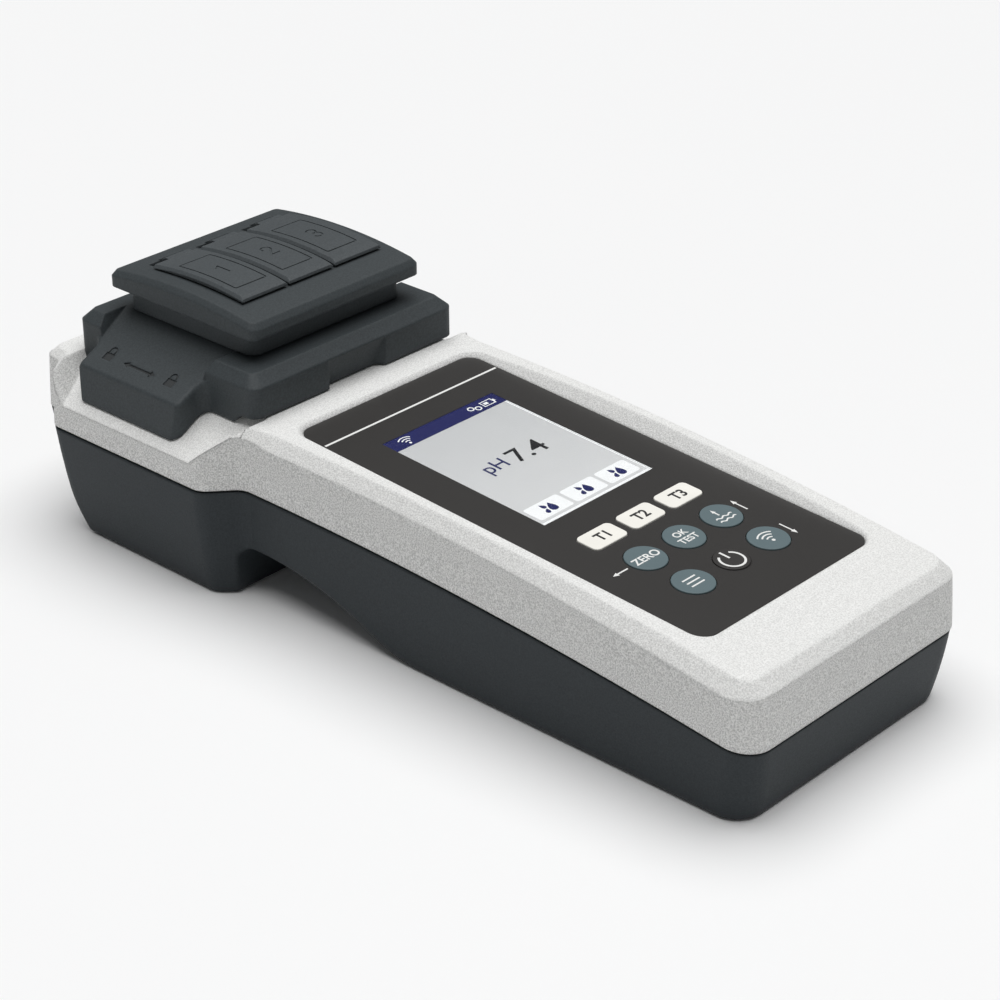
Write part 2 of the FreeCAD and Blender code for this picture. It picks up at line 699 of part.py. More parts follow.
def screw(x, y, z_head, length, r, head_r, head_h):
    """Pan head screw pointing up from a head seat at z_head."""
    head = rod(x, y, z_head - head_h, z_head, head_r)
    rim = [edge for edge in head.Edges if abs(edge.BoundBox.ZMax - (z_head - head_h)) < 1e-6]
    head = head.makeFillet(head_h * 0.4, rim)
    slot_a = box(x - head_r * 0.6, x + head_r * 0.6, y - 0.3, y + 0.3, z_head - head_h - 1,
                 z_head - head_h * 0.45)
    slot_b = box(x - 0.3, x + 0.3, y - head_r * 0.6, y + head_r * 0.6, z_head - head_h - 1,
                 z_head - head_h * 0.45)
    return fuse([head, rod(x, y, z_head - 0.2, z_head + length, r)]).cut([slot_a, slot_b])


def make_board_screws():
    screws = []
    for x, y in BOARD_SCREWS:
        made = screw(x, y, BOARD_TOP - BOARD_T, BOARD_T + 3.2, 1.05, 2.2, 1.5)
        screws += [on_label(s) for s in both_sides(made)]
    return Part.makeCompound(screws)


def make_case_screws():
    screws = []
    for x, y, seat_z in CASE_SCREWS:
        made = screw(x, y, seat_z, seam_z(y) + CASE_SCREW_BITE - seat_z, 1.45, 2.75, 2.0)
        screws += both_sides(made)
    return Part.makeCompound(screws)


def make_gasket():
    ring = case_loft(UPPER_SECTIONS, 0.45).cut(case_loft(UPPER_SECTIONS, WALL - 0.4))
    return ring.common(under_seam(SEAM_GAP)).cut(under_seam(-SEAM_GAP))


# ---------------------------------------------------------------- batteries
def cell_centres():
    return [(CELL_Y0 + 0.3 + CELL_R + CELL_PITCH * i, 1 if i % 2 else -1) for i in range(4)]


def make_cells():
    """Four AA cells side by side, alternating."""
    shapes = []
    for y, way in cell_centres():
        shoulder = CELL_L / 2 - 1.1
        can = rod_x(-CELL_L / 2, shoulder, y, CELL_Z, CELL_R - 0.05)
        nub = rod_x(shoulder - 0.1, CELL_L / 2, y, CELL_Z, 2.7)
        cell = fuse([can, nub])
        shapes.append(cell if way > 0 else mirrored(cell))
    return Part.makeCompound(shapes)


def make_contacts():
    """Contact leaf at both ends of each cell: a dimple for plus, a cone spring for minus."""
    shapes = []
    leaf_x = BAY_W - 0.5
    tip = CELL_L / 2
    for y, way in cell_centres():
        leaf = box(leaf_x, BAY_W, y - 5, y + 5, CELL_Z - 5, CELL_Z + 5)
        plus = fuse([leaf, rod_x(tip, leaf_x + 0.1, y, CELL_Z, 2.2)])
        cone = Part.makeCone(2.0, 4.2, leaf_x + 0.1 - tip, Vector(tip, y, CELL_Z), Vector(1, 0, 0))
        minus = fuse([leaf, cone])
        right, left = (plus, minus) if way > 0 else (minus, plus)
        shapes += [right, mirrored(left)]
    return Part.makeCompound(shapes)


def make_battery_cover():
    cover = rounded_box(-COVER_W + COVER_PLAY, COVER_W - COVER_PLAY, COVER_Y0 + COVER_PLAY,
                        COVER_Y1 - COVER_PLAY, 1.8, 0, COVER_T)
    middle = (COVER_Y0 + COVER_Y1) / 2
    grooves = [box(-18, 18, middle + k * 3 - 0.6, middle + k * 3 + 0.6, -1, 0.5) for k in range(-3, 4)]
    seats = [rod(x, y, -1, 1.2, 2.3) for x, y in COVER_SCREWS]
    holes = [rod(x, y, -1, 5, 1.1) for x, y in COVER_SCREWS]
    return cover.cut(grooves + seats + holes)


def make_cover_seal():
    inset = COVER_PLAY + 0.05
    ring = rounded_box(-COVER_W + inset, COVER_W - inset, COVER_Y0 + inset, COVER_Y1 - inset, 1.8,
                       COVER_T, COVER_T + COVER_SEAL)
    holes = [rod(x, y, 0, 9, 1.3) for x, y in COVER_SCREWS]
    bay = rounded_box(-BAY_W - 0.1, BAY_W + 0.1, CELL_Y0 - 0.1, CELL_Y0 + BAY_L + 0.1, 1, 0, 9)
    return ring.cut([bay] + holes)


def make_cover_screws():
    return Part.makeCompound([screw(x, y, 1.2, 6.4, 0.95, 2.1, 0.9) for x, y in COVER_SCREWS])


# ---------------------------------------------------------------- optics
def make_optics_block():
    """Dark block with a well for each cuvette and a light path through each well."""
    block = rounded_box(-OPT_W, OPT_W, OPT_Y0, OPT_Y1, 2, OPT_Z0, OPT_RIM_Z1)
    pocket = rounded_box(-OPT_W + 1.4, OPT_W - 1.4, OPT_Y0 + 1.4, OPT_Y1 - 1.4, 1, OPT_Z1, 50)
    ears = []
    holes = []
    for x, y in OPTICS_SCREWS:
        ear = box(OPT_W - 1, x + 3, y - 3, y + 3, OPTICS_EAR_Z1 - OPTICS_EAR_T, OPTICS_EAR_Z1)
        ears += both_sides(ear)
        holes += both_sides(rod(x, y, 20, 50, 1.4))
    cuts = [pocket]
    for x in STATIONS:
        cuts.append(box(x - WELL_X / 2, x + WELL_X / 2, WELL_Y0, WELL_Y1, WELL_Z0, 50))
        cuts.append(rod_y(x, OPT_Y0 - 1, OPT_Y0 + 3.6, BEAM_Z, 2.6))
        cuts.append(rod_y(x, OPT_Y0, OPT_Y1, BEAM_Z, 1.2))
        cuts.append(rod_y(x, OPT_Y1 - 3.6, OPT_Y1 + 1, BEAM_Z, 2.6))
    sump = box(-OPT_W + 3, OPT_W - 3, OPT_Y1 - 5.4, OPT_Y1 - 1.4, 30.5, 50)
    return fuse([block] + ears).cut(cuts + holes + [sump])


def make_optics_screws():
    screws = []
    for x, y in OPTICS_SCREWS:
        made = screw(x, y, OPTICS_EAR_Z1 - OPTICS_EAR_T, OPTICS_EAR_T + 4.5, 1.05, 2.1, 1.5)
        screws += both_sides(made)
    return Part.makeCompound(screws)


def make_leds():
    shapes = []
    for x in STATIONS:
        flange = rod_y(x, LED_BOARD_Y1, LED_BOARD_Y1 + 1.1, BEAM_Z, LED_FLANGE_R)
        body = rod_y(x, LED_BOARD_Y1 + 1, LED_BOARD_Y1 + 2.5, BEAM_Z, LED_R)
        dome = Part.makeSphere(LED_R, Vector(x, LED_BOARD_Y1 + 2.5, BEAM_Z))
        shapes.append(fuse([flange, body, dome]))
    return Part.makeCompound(shapes)


def make_upright_board(y0, y1):
    board = box(-SMALL_BOARD_W, SMALL_BOARD_W, y0, y1, SMALL_BOARD_Z0, SMALL_BOARD_Z1)
    return board.cut([rod_y(x, y0 - 1, y1 + 1, 35.0, 1.1) for x in (-19.0, 19.0)])


def make_photodiodes():
    shapes = []
    for x in STATIONS:
        base = rod_y(x, OPT_Y1 + 0.1, SENSOR_BOARD_Y0, BEAM_Z, 2.9)
        can = rod_y(x, OPT_Y1 - 3.2, OPT_Y1 + 0.2, BEAM_Z, 2.45)
        shapes.append(fuse([base, can]))
    return Part.makeCompound(shapes)


# ---------------------------------------------------------------- cuvette adapter
def wing_level(x):
    """Height of the wings' slope."""
    return ADP_Z1 - WING_FALL * (x - WING_X0)


def adapter_outline(z):
    right = [(ADP_W, ADP_Y0, ADP_R), (ADP_W, WING_Y0, ADP_R), (WING_W, WING_Y0, ADP_R),
             (WING_W, WING_Y1, ADP_R), (ADP_W, WING_Y1, ADP_R), (ADP_W, ADP_Y1, ADP_R)]
    left = [(-x, y, radius) for x, y, radius in reversed(right)]
    return rounded_wire(right + left, z)


def make_wing():
    """The +X wing with its soft rim; it reaches into the block."""
    blank = profile_y([(0, 30), (0, ADP_Z1), (WING_X0, ADP_Z1), (WING_X1, WING_Z1),
                       (WING_W, WING_LOW_Z), (WING_W, 30)], WING_Y0 - ADP_R, WING_Y1 + ADP_R)
    wing = blank.common(plate(adapter_outline(30), 30))

    def on_rim(p):
        return p.x > ADP_W - 0.01 and abs(p.z - wing_level(p.x)) < 0.02

    return wing.makeFillet(WING_RIM, edges_where(wing, on_rim))


def wing_relief():
    """Space over the +X wing's slope, inside the block."""
    reach = 60.0
    over = 12.0
    run = over / RELIEF_LEAN
    slope = profile_y([(WING_X0, ADP_Z1), (reach, wing_level(reach)), (reach, 80), (WING_X0, 80)],
                      WING_Y0 - 20, WING_Y1 + 20)
    ends = profile_x([(WING_Y0 + 1.5, WING_Z1), (WING_Y1 - 1.5, WING_Z1),
                      (WING_Y1 - 1.5 + run, WING_Z1 + over), (WING_Y0 + 1.5 - run, WING_Z1 + over)],
                     reach)
    return slope.common(ends)


def near_scoop():
    """Shallow scoop at the foot of the near face, running out at the bevel."""
    face = [Vector(-SCOOP_X1, ADP_Y0 - 1, 30), Vector(SCOOP_X1, ADP_Y0 - 1, 30),
            Vector(SCOOP_X0, ADP_Y0 + SCOOP, 30), Vector(-SCOOP_X0, ADP_Y0 + SCOOP, 30)]
    outline = Part.Face(Part.makePolygon(face + [face[0]])).extrude(Vector(0, 0, 30))
    shoulder_z = ADP_Z1 - ADP_CHAMFER
    fade = profile_x([(ADP_Y0 - 2, 20), (ADP_Y0 - 2, shoulder_z), (ADP_Y0, shoulder_z),
                      (ADP_Y0 + SCOOP, ADP_Z0 + 1), (ADP_Y0 + SCOOP, 20)], 20)
    return outline.common(fade)


def adapter_shell():
    """Block and wings over the deck and the saddles, hollow from below."""
    shoulder_z = ADP_Z1 - ADP_CHAMFER
    walls = rounded_box(-ADP_W, ADP_W, ADP_Y0, ADP_Y1, ADP_R, 30, shoulder_z)
    low = rect_wire(-ADP_W, ADP_W, ADP_Y0, ADP_Y1, ADP_R, shoulder_z)
    high = rect_wire(-ADP_W + ADP_CHAMFER, ADP_W - ADP_CHAMFER, ADP_Y0 + ADP_NEAR_RUN,
                     ADP_Y1 - ADP_CHAMFER, ADP_R / 2, ADP_Z1)
    block = fuse([walls, Part.makeLoft([low, high], True, True)])
    block = block.cut(both_sides(wing_relief()))
    body = fuse([block] + both_sides(make_wing()))
    above = [box(-60, 60, 0, 150, ADP_Z0, 80)]
    above += both_sides(saddle_cutter(-ADP_GAP, TRAVEL))
    body = body.common(fuse(above)).cut(near_scoop())

    pockets = [rounded_box(-22, 22, 44.8, 52.3, 1, 30, ADP_Z1 - ADP_ROOF),
               rounded_box(-22, 22, 90.2, 95.6, 1, 30, ADP_Z1 - ADP_ROOF)]
    inner_x = 31.0
    wall_x = WING_W - 2.8
    wing_pocket = profile_y([(inner_x, 30), (inner_x, wing_level(inner_x) - ADP_ROOF),
                             (wall_x, wing_level(wall_x) - ADP_ROOF), (wall_x, 30)],
                            WING_Y0 + 2.2, WING_Y1 - 2.2)
    return body.cut(pockets + both_sides(wing_pocket))


def make_adapter():
    skirt = rounded_box(-SKIRT_W, SKIRT_W, SKIRT_Y0, SKIRT_Y1, 1.5, SKIRT_Z0, ADP_Z0 + 1)
    lugs = []
    for y in LUG_YS:
        lugs += both_sides(box(SKIRT_W - 1, LUG_REACH, y - LUG_HALF, y + LUG_HALF, SKIRT_Z0, SKIRT_Z0 + 1.6))
    y0 = HEAD_Y - COLLAR_HALF
    y1 = HEAD_Y + COLLAR_HALF
    t = COLLAR_WALL
    collar = rounded_box(-COLLAR_W, COLLAR_W, y0, y1, 1.4, ADP_Z1 - 0.5, COLLAR_Z1)
    collar = collar.cut(rounded_box(-COLLAR_W + t, COLLAR_W - t, y0 + t, y1 - t, 0.7, ADP_Z1 - 1, 70))
    body = fuse([adapter_shell(), skirt, collar] + lugs)

    half_x = CUV_X / 2 + CUV_PLAY
    half_y = CUV_Y / 2 + CUV_PLAY
    holes = [box(x - half_x, x + half_x, HEAD_Y - half_y, HEAD_Y + half_y, 30, 70) for x in STATIONS]
    groove = rounded_box(-SEAL_W, SEAL_W, SEAL_Y0, SEAL_Y1, 3, 30, ADP_Z0 + SEAL_DEPTH)
    groove = groove.cut(rounded_box(-SEAL_W + SEAL_T, SEAL_W - SEAL_T, SEAL_Y0 + SEAL_T,
                                    SEAL_Y1 - SEAL_T, 2, 29, 60))
    return body.cut(holes + [groove] + wing_marks())


def padlock(y, lift, turn):
    """Padlock on its side: body outwards, shackle towards the lid."""
    body = box(-1.05, 1.2, y - 1.5, y + 1.5, 0, 4)
    ring = rod(0, 0, 0, 4, 1.15).cut(rod(0, 0, -1, 5, 0.7)).common(box(-5, 0, -5, 5, 0, 4))
    shackle = fuse([ring, box(0, 1.1, -1.15, -0.7, 0, 4), box(0, 1.1 - lift, 0.7, 1.15, 0, 4)])
    shackle.rotate(Vector(1.0, -0.9, 0), Vector(0, 0, 1), turn)
    shackle.translate(Vector(-1.9, y, 0))
    return fuse([body, shackle])


def double_arrow():
    shaft = box(-0.35, 0.35, -4.0, 4.0, 0, 4)
    heads = []
    for way in (1, -1):
        path = [Vector(-0.95, way * 3.75, 0), Vector(0.95, way * 3.75, 0), Vector(0, way * 5.6, 0)]
        heads.append(Part.Face(Part.makePolygon(path + [path[0]])).extrude(Vector(0, 0, 4)))
    return fuse([shaft] + heads)


def wing_marks():
    """Sunk marks on both wings: a closed padlock, a double arrow, an open padlock."""
    marks = []
    for mark in (padlock(MARK_FAR, 0.0, 0), padlock(-MARK_NEAR, 0.7, -14), double_arrow()):
        mark.rotate(Vector(0, 0, 0), Vector(0, 1, 0), math.degrees(math.atan(WING_FALL)))
        mark.translate(Vector(MARK_X, MARK_Y, wing_level(MARK_X) - MARK_DEPTH))
        marks += both_sides(mark)
    return marks


def make_adapter_seal():
    ring = rounded_box(-SEAL_W + 0.05, SEAL_W - 0.05, SEAL_Y0 + 0.05, SEAL_Y1 - 0.05, 3,
                       DECK_Z + 0.15, ADP_Z0 + SEAL_DEPTH)
    ring = ring.cut(rounded_box(-SEAL_W + SEAL_T - 0.05, SEAL_W - SEAL_T + 0.05,
                                SEAL_Y0 + SEAL_T - 0.05, SEAL_Y1 - SEAL_T + 0.05, 2, 30, 60))
    return ring


def make_cuvette(x):
    """Clear cell with a flange at both ends of its mouth."""
    half_x = CUV_X / 2
    half_y = CUV_Y / 2
    outer = box(x - half_x, x + half_x, HEAD_Y - half_y, HEAD_Y + half_y, CUV_Z0, CUV_Z1)
    upright = [e for e in outer.Edges if abs(e.BoundBox.ZMax - e.BoundBox.ZMin) > 1]
    outer = outer.makeFillet(0.8, upright)
    flange = rounded_box(x - half_x, x + half_x, HEAD_Y - half_y - 2.5, HEAD_Y + half_y + 2.5, 1.2,
                         ADP_Z1, ADP_Z1 + 1.2)
    inner = box(x - half_x + CUV_WALL, x + half_x - CUV_WALL, HEAD_Y - half_y + CUV_WALL,
                HEAD_Y + half_y - CUV_WALL, CUV_Z0 + 1.6, 70)
    return fuse([outer, flange]).cut(inner)


# ---------------------------------------------------------------- lid and flaps
def arch_under(z_edge, rise, z_low):
    """Everything under an arch over the lid: z_edge at both its ends, higher by rise between."""
    half = (LID_Y1 - LID_Y0) / 2
    middle = (LID_Y1 + LID_Y0) / 2
    radius = (half ** 2 + rise ** 2) / (2 * rise)
    reach = half + 4
    z_mid = z_edge + rise
    z_end = z_mid - radius + math.sqrt(radius ** 2 - reach ** 2)
    start = Vector(-40, middle - reach, z_end)
    top = Vector(-40, middle, z_mid)
    end = Vector(-40, middle + reach, z_end)
    low_end = Vector(-40, middle + reach, z_low)
    low_start = Vector(-40, middle - reach, z_low)
    edges = [Part.Arc(start, top, end).toShape(),
             Part.LineSegment(end, low_end).toShape(),
             Part.LineSegment(low_end, low_start).toShape(),
             Part.LineSegment(low_start, start).toShape()]
    return Part.Face(Part.Wire(edges)).extrude(Vector(80, 0, 0))


def make_lid():
    slab = rounded_box(-LID_W, LID_W, LID_Y0, LID_Y1, LID_R, LID_Z0, 75)
    slab = slab.common(arch_under(LID_EDGE_Z, LID_RISE, 40))
    top_rim = edges_where(slab, lambda p: p.z > LID_EDGE_Z - 0.05)
    slab = slab.makeChamfer(LID_CHAMFER, top_rim)
    neck = rounded_box(-NECK_W, NECK_W, NECK_Y0, NECK_Y1, NECK_R, NECK_Z0, LID_Z0 + 1)
    body = fuse([slab, neck])
    inside = rounded_box(-NECK_W + NECK_WALL, NECK_W - NECK_WALL, NECK_Y0 + NECK_WALL,
                         NECK_Y1 - NECK_WALL, NECK_R - NECK_WALL, NECK_Z0 - 1, LID_CEILING)
    cuts = [inside]
    for x in STATIONS:
        cuts.append(box(x - PORT_W, x + PORT_W, PORT_Y0, PORT_Y1, 50, 80))
        cuts.append(box(x - BARREL_X0 - BARREL_PLAY, x + BARREL_X1 + BARREL_PLAY, AXIS_Y - 2.8,
                        AXIS_Y + 2.6, 61.6, 80))
        cuts.append(box(x - SLOT_X0, x - BARREL_X0, SLOT_Y0, SLOT_Y1, 62.2, 80))
    cuts.append(rod_x(-ROD_X0 - 0.1, 40, AXIS_Y, AXIS_Z, PIN_R + 0.02))
    return body.cut(cuts)


def flap_profile():
    """Side view of a flap: flat-bottomed plate with a gently arched top."""
    z0 = FLAP_Z0
    start = Vector(0, FLAP_Y0, z0)
    lip = Vector(0, FLAP_Y0 + 0.2, z0 + 0.7)
    lip_top = Vector(0, FLAP_Y0 + 1.4, flap_top(FLAP_Y0 + 1.4))
    crest = Vector(0, FLAP_CREST_Y, FLAP_CREST_Z)
    back = Vector(0, FLAP_Y1, FLAP_BACK_Z)
    edges = [Part.LineSegment(start, lip).toShape(),
             Part.LineSegment(lip, lip_top).toShape(),
             Part.Arc(lip_top, crest, back).toShape()]
    return edges, start, back


def flap_top(y):
    """Height of the flap's arched top, a circle through three points."""
    span = FLAP_Y1 - FLAP_CREST_Y
    drop = FLAP_CREST_Z - FLAP_BACK_Z
    radius = (span ** 2 + drop ** 2) / (2 * drop)
    return FLAP_CREST_Z - radius + math.sqrt(radius ** 2 - (y - FLAP_CREST_Y) ** 2)


def make_flap(x):
    """Flap with its hinge barrel and a light stop under it."""
    edges, start, back = flap_profile()
    back_low = Vector(0, FLAP_Y1, FLAP_Z0 - 0.05)
    low_mid = Vector(0, HEAD_Y - 0.5, FLAP_Z0 + 0.7)
    edges.append(Part.LineSegment(back, back_low).toShape())
    edges.append(Part.Arc(back_low, low_mid, start).toShape())
    x0 = x - FLAP_W / 2
    x1 = x + FLAP_W / 2 + (FLAP_END if x == STATIONS[-1] else 0)
    wire = Part.Wire(edges)
    wire.translate(Vector(x0, 0, 0))
    body = Part.Face(wire).extrude(Vector(x1 - x0, 0, 0))

    def on_side_rim(p):
        on_side = min(abs(p.x - x0), abs(p.x - x1)) < 0.01
        return on_side and FLAP_Y0 + 1 < p.y < FLAP_Y1 and p.z > flap_top(p.y) - 0.2

    body = body.makeChamfer(FLAP_BEVEL, edges_where(body, on_side_rim))
    plug = rounded_box(x - PORT_W + 0.4, x + PORT_W - 0.4, PORT_Y0 + 0.5, PORT_Y1 - 1.2, 0.8,
                       PLUG_Z0, FLAP_Z0 + 1)
    barrel = rod_x(x - BARREL_X0, x + BARREL_X1, AXIS_Y, AXIS_Z, BARREL_R)
    arm = box(x - BARREL_X0, x + BARREL_X1, AXIS_Y - 2.4, AXIS_Y + 0.2, AXIS_Z + 0.9, AXIS_Z + 2.2)
    made = fuse([body, plug, arm, barrel])
    bore = rod_x(x - 10, x + 10, AXIS_Y, AXIS_Z, PIN_R + 0.07)
    return made.cut([bore, flap_field(x), flap_digit(x)])


def flap_field(x):
    """Fine line round the numbered field, cut into the arched top."""
    t = FIELD_LINE
    outer = rounded_box(x - FIELD_W, x + FIELD_W, FIELD_Y0, FIELD_Y1, 0.6, 60, 75)
    inner = rounded_box(x - FIELD_W + t, x + FIELD_W - t, FIELD_Y0 + t, FIELD_Y1 - t, 0.4, 59, 76)
    return outer.cut(inner).cut(flap_core(SUNK))


def flap_core(depth):
    """Space under the arched top of a flap, lowered by depth."""
    first = Vector(-40, FLAP_Y0 + 1.4, flap_top(FLAP_Y0 + 1.4) - depth)
    crest = Vector(-40, FLAP_CREST_Y, FLAP_CREST_Z - depth)
    last = Vector(-40, FLAP_Y1, FLAP_BACK_Z - depth)
    low_last = Vector(-40, FLAP_Y1, 50)
    low_first = Vector(-40, FLAP_Y0 + 1.4, 50)
    edges = [Part.Arc(first, crest, last).toShape(),
             Part.LineSegment(last, low_last).toShape(),
             Part.LineSegment(low_last, low_first).toShape(),
             Part.LineSegment(low_first, first).toShape()]
    return Part.Face(Part.Wire(edges)).extrude(Vector(80, 0, 0))


def flap_digit(x):
    """Sunk station number, read from the handle."""
    half = DIGIT_STROKE / DIGIT_SIZE / 2

    def bar(x0, x1, y0, y1):
        return box(x0 - half, x1 + half, y0 - half, y1 + half, 0, 1)

    def bow(cy, r, x0, y0, y1):
        ring = rod(0, cy, 0, 1, r + half).cut(rod(0, cy, -1, 2, r - half))
        return ring.common(box(x0, 5, y0, y1, 0, 1))

    def polygon(points):
        path = [Vector(a, b, 0) for a, b in points]
        return Part.Face(Part.makePolygon(path + [path[0]])).extrude(Vector(0, 0, 1))

    if x == STATIONS[0]:
        flag = polygon([(-1.1, 0.9), (-0.9, 0.6), (0.1, 1.4), (0.1, 1.9)])
        drawn = fuse([bar(0.1, 0.1, -1.75, 1.7), flag])
    elif x == STATIONS[1]:
        leg = polygon([(-1.2, -1.6), (-0.75, -1.75), (1.15, 0.6), (0.8, 0.75)])
        drawn = fuse([bow(0.95, 1.0, -3, 0.6, 3), leg, bar(-1.0, 1.1, -1.75, -1.75)])
    else:
        drawn = fuse([bow(0.95, 0.95, -0.4, -1, 3), bow(-0.95, 0.95, -0.4, -3, 1),
                      bow(0.95, 0.95, -3, 1.1, 3), bow(-0.95, 0.95, -3, -3, -1.1)])
    drawn.scale(DIGIT_SIZE)
    drawn.translate(Vector(x + DIGIT_X, DIGIT_Y, FLAP_CREST_Z - 0.8))
    return drawn.cut(flap_core(SUNK))


def make_hinge_rod():
    return rod_x(-ROD_X0, ROD_X1, AXIS_Y, AXIS_Z, PIN_R)


def export(name, shape):
    solids = shape.Solids
    if not shape.isValid() or not solids:
        raise ValueError(name + " is not a valid solid")
    shape = solids[0] if len(solids) == 1 else Part.makeCompound(solids)
    shape.exportStep("parts/" + name + ".step")


def main():
    os.makedirs("parts", exist_ok=True)
    parts = {
        "lower_case": make_lower_case(),
        "upper_case": make_upper_case(),
        "case_gasket": make_gasket(),
        "keypad_overlay": make_label(),
        "display_window": make_window(),
        "display_module": make_display(),
        "display_foam_frame": make_display_foam(),
        "tact_switches": make_switches(),
        "main_board": make_board(),
        "board_chips": make_chips(),
        "board_screws": make_board_screws(),
        "case_screws": make_case_screws(),
        "battery_cover": make_battery_cover(),
        "battery_cover_seal": make_cover_seal(),
        "battery_cover_screws": make_cover_screws(),
        "aa_batteries": make_cells(),
        "battery_contacts": make_contacts(),
        "optics_block": make_optics_block(),
        "optics_screws": make_optics_screws(),
        "leds": make_leds(),
        "led_board": make_upright_board(LED_BOARD_Y0, LED_BOARD_Y1),
        "photodiodes": make_photodiodes(),
        "sensor_board": make_upright_board(SENSOR_BOARD_Y0, SENSOR_BOARD_Y1),
        "cuvette_adapter": make_adapter(),
        "adapter_seal": make_adapter_seal(),
        "lid": make_lid(),
        "flap_hinge_rod": make_hinge_rod(),
    }
    for name in KEYS:
        parts[name] = make_key(name)
    for number, x in enumerate(STATIONS, 1):
        parts["cuvette_%d" % number] = make_cuvette(x)
        parts["flap_%d" % number] = make_flap(x)
    for name, shape in parts.items():
        export(name, shape)


main()
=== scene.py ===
import json
import math

import bpy
from mathutils import Matrix, Vector


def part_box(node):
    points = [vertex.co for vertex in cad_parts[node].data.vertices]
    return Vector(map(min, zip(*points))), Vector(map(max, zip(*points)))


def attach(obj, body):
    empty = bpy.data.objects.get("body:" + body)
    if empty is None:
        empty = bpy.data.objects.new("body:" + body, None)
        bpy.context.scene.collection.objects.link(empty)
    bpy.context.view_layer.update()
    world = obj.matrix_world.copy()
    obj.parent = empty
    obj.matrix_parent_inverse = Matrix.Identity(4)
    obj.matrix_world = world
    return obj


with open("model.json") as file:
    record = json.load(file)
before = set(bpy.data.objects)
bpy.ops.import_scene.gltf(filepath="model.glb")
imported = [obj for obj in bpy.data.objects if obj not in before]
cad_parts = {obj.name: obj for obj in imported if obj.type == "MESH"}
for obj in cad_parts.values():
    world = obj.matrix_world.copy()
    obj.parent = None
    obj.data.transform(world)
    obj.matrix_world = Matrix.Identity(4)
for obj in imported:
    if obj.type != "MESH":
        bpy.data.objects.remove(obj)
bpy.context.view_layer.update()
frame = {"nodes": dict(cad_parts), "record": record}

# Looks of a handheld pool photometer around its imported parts. Metres, +Z up, base on Z = 0,
# +Y from the handle towards the cuvette head.

MM = 0.001
NODES = frame["nodes"]
BODY_OF = {}
for body_name, members in frame["record"]["behaviour"]["bodies"].items():
    for member in members:
        BODY_OF[member] = body_name

# light: the fill comes from all round, the backdrop is only what the camera sees behind the floor
FILL_COLOUR = (0.97, 0.985, 1.0, 1)
FILL_STRENGTH = 0.13
BACKDROP_COLOUR = (0.93, 0.93, 0.93, 1)
SUN_POWER = 2.85
SUN_ANGLE = math.radians(68)
SUN_WAY = Vector((-0.12, -0.06, -1.15))
FLOOR_SIZE = 12
FLOOR_Z = -0.0002

# key centres and print levels on the label, in millimetres from the label's near edge and its top face
KEY_X = 12.95
ROW_T, ROW_A, ROW_B = 41.6, 29.2, 16.05
KEY_TOP = 0.305
PRINT_T = 0.02
LINE_Y, LINE_HALF, LINE_T = 111.5, 28.6, 0.3
WEB_R, WEB_W = 4.32, 0.11
WEB_Z, WEB_T = -0.12, 0.11

# the screen's picture, in the same millimetres
SCREEN = (-18.35, 18.35, 53.55, 103.35)
STATUS_Y = 98.75
FOOT_T, BORDER_T = 1.1, 0.35
SOFT_KEY_Y0, SOFT_KEY_Y1, SOFT_KEY_R = 55.6, 61.4, 0.7
SOFT_KEY_ENDS = ((-16.9, -5.9), (-4.9, 5.8), (6.8, 16.9))
DROP_GROUPS_X = (-11.4, 0.45, 11.8)
PICTURE_LEVEL, LAYER_STEP, LAYER_T = -0.745, 0.006, 0.005
RASTER = 0.19
# the ground's shading runs between these places along the picture, in metres
SHADE_LOW_Y = 0.0535
SHADE_HIGH_Y = 0.0988

# lock signs on the adapter's wings: middle of the double arrow, and the padlocks from there
SIGN_X, SIGN_Y = 37.1 * MM, 74.65 * MM
CLOSED_LOCK_Y, OPEN_LOCK_Y = 11.15, -10.95
OPEN_LIFT, OPEN_TURN = 0.7, -14


# ---------------------------------------------------------------- camera, light and floor
def add_camera():
    place = Vector((-0.4057, -0.38335, 0.3180))
    forward = Vector((0.6489, 0.6018, -0.4656)).normalized()
    roll = math.radians(0.39)
    level_right = forward.cross(Vector((0, 0, 1))).normalized()
    level_up = level_right.cross(forward)
    right = level_right * math.cos(roll) - level_up * math.sin(roll)
    up = level_up * math.cos(roll) + level_right * math.sin(roll)
    data = bpy.data.cameras.new("photo_camera")
    data.sensor_width = 36.0
    data.lens = 97.35
    data.clip_start = 0.01
    camera = bpy.data.objects.new("photo_camera", data)
    turn = Matrix((right, up, -forward)).transposed()
    camera.matrix_world = Matrix.Translation(place) @ turn.to_4x4()
    bpy.context.scene.collection.objects.link(camera)
    bpy.context.scene.camera = camera


def add_lamp(name, data, place, way):
    lamp = bpy.data.objects.new(name, data)
    lamp.location = place
    lamp.rotation_euler = way.to_track_quat("-Z", "Y").to_euler()
    bpy.context.scene.collection.objects.link(lamp)


def add_lights():
    sun = bpy.data.lights.new("top_light", "SUN")
    sun.energy = SUN_POWER
    sun.angle = SUN_ANGLE
    add_lamp("top_light", sun, (0, 0, 0), SUN_WAY)

    panel = bpy.data.lights.new("side_softbox", "AREA")
    panel.shape = "RECTANGLE"
    panel.size, panel.size_y = 0.8, 0.6
    panel.energy = 0.45
    place = Vector((-1.2, -0.4, 0.55))
    add_lamp("side_softbox", panel, place, Vector((0, 0, 0.03)) - place)


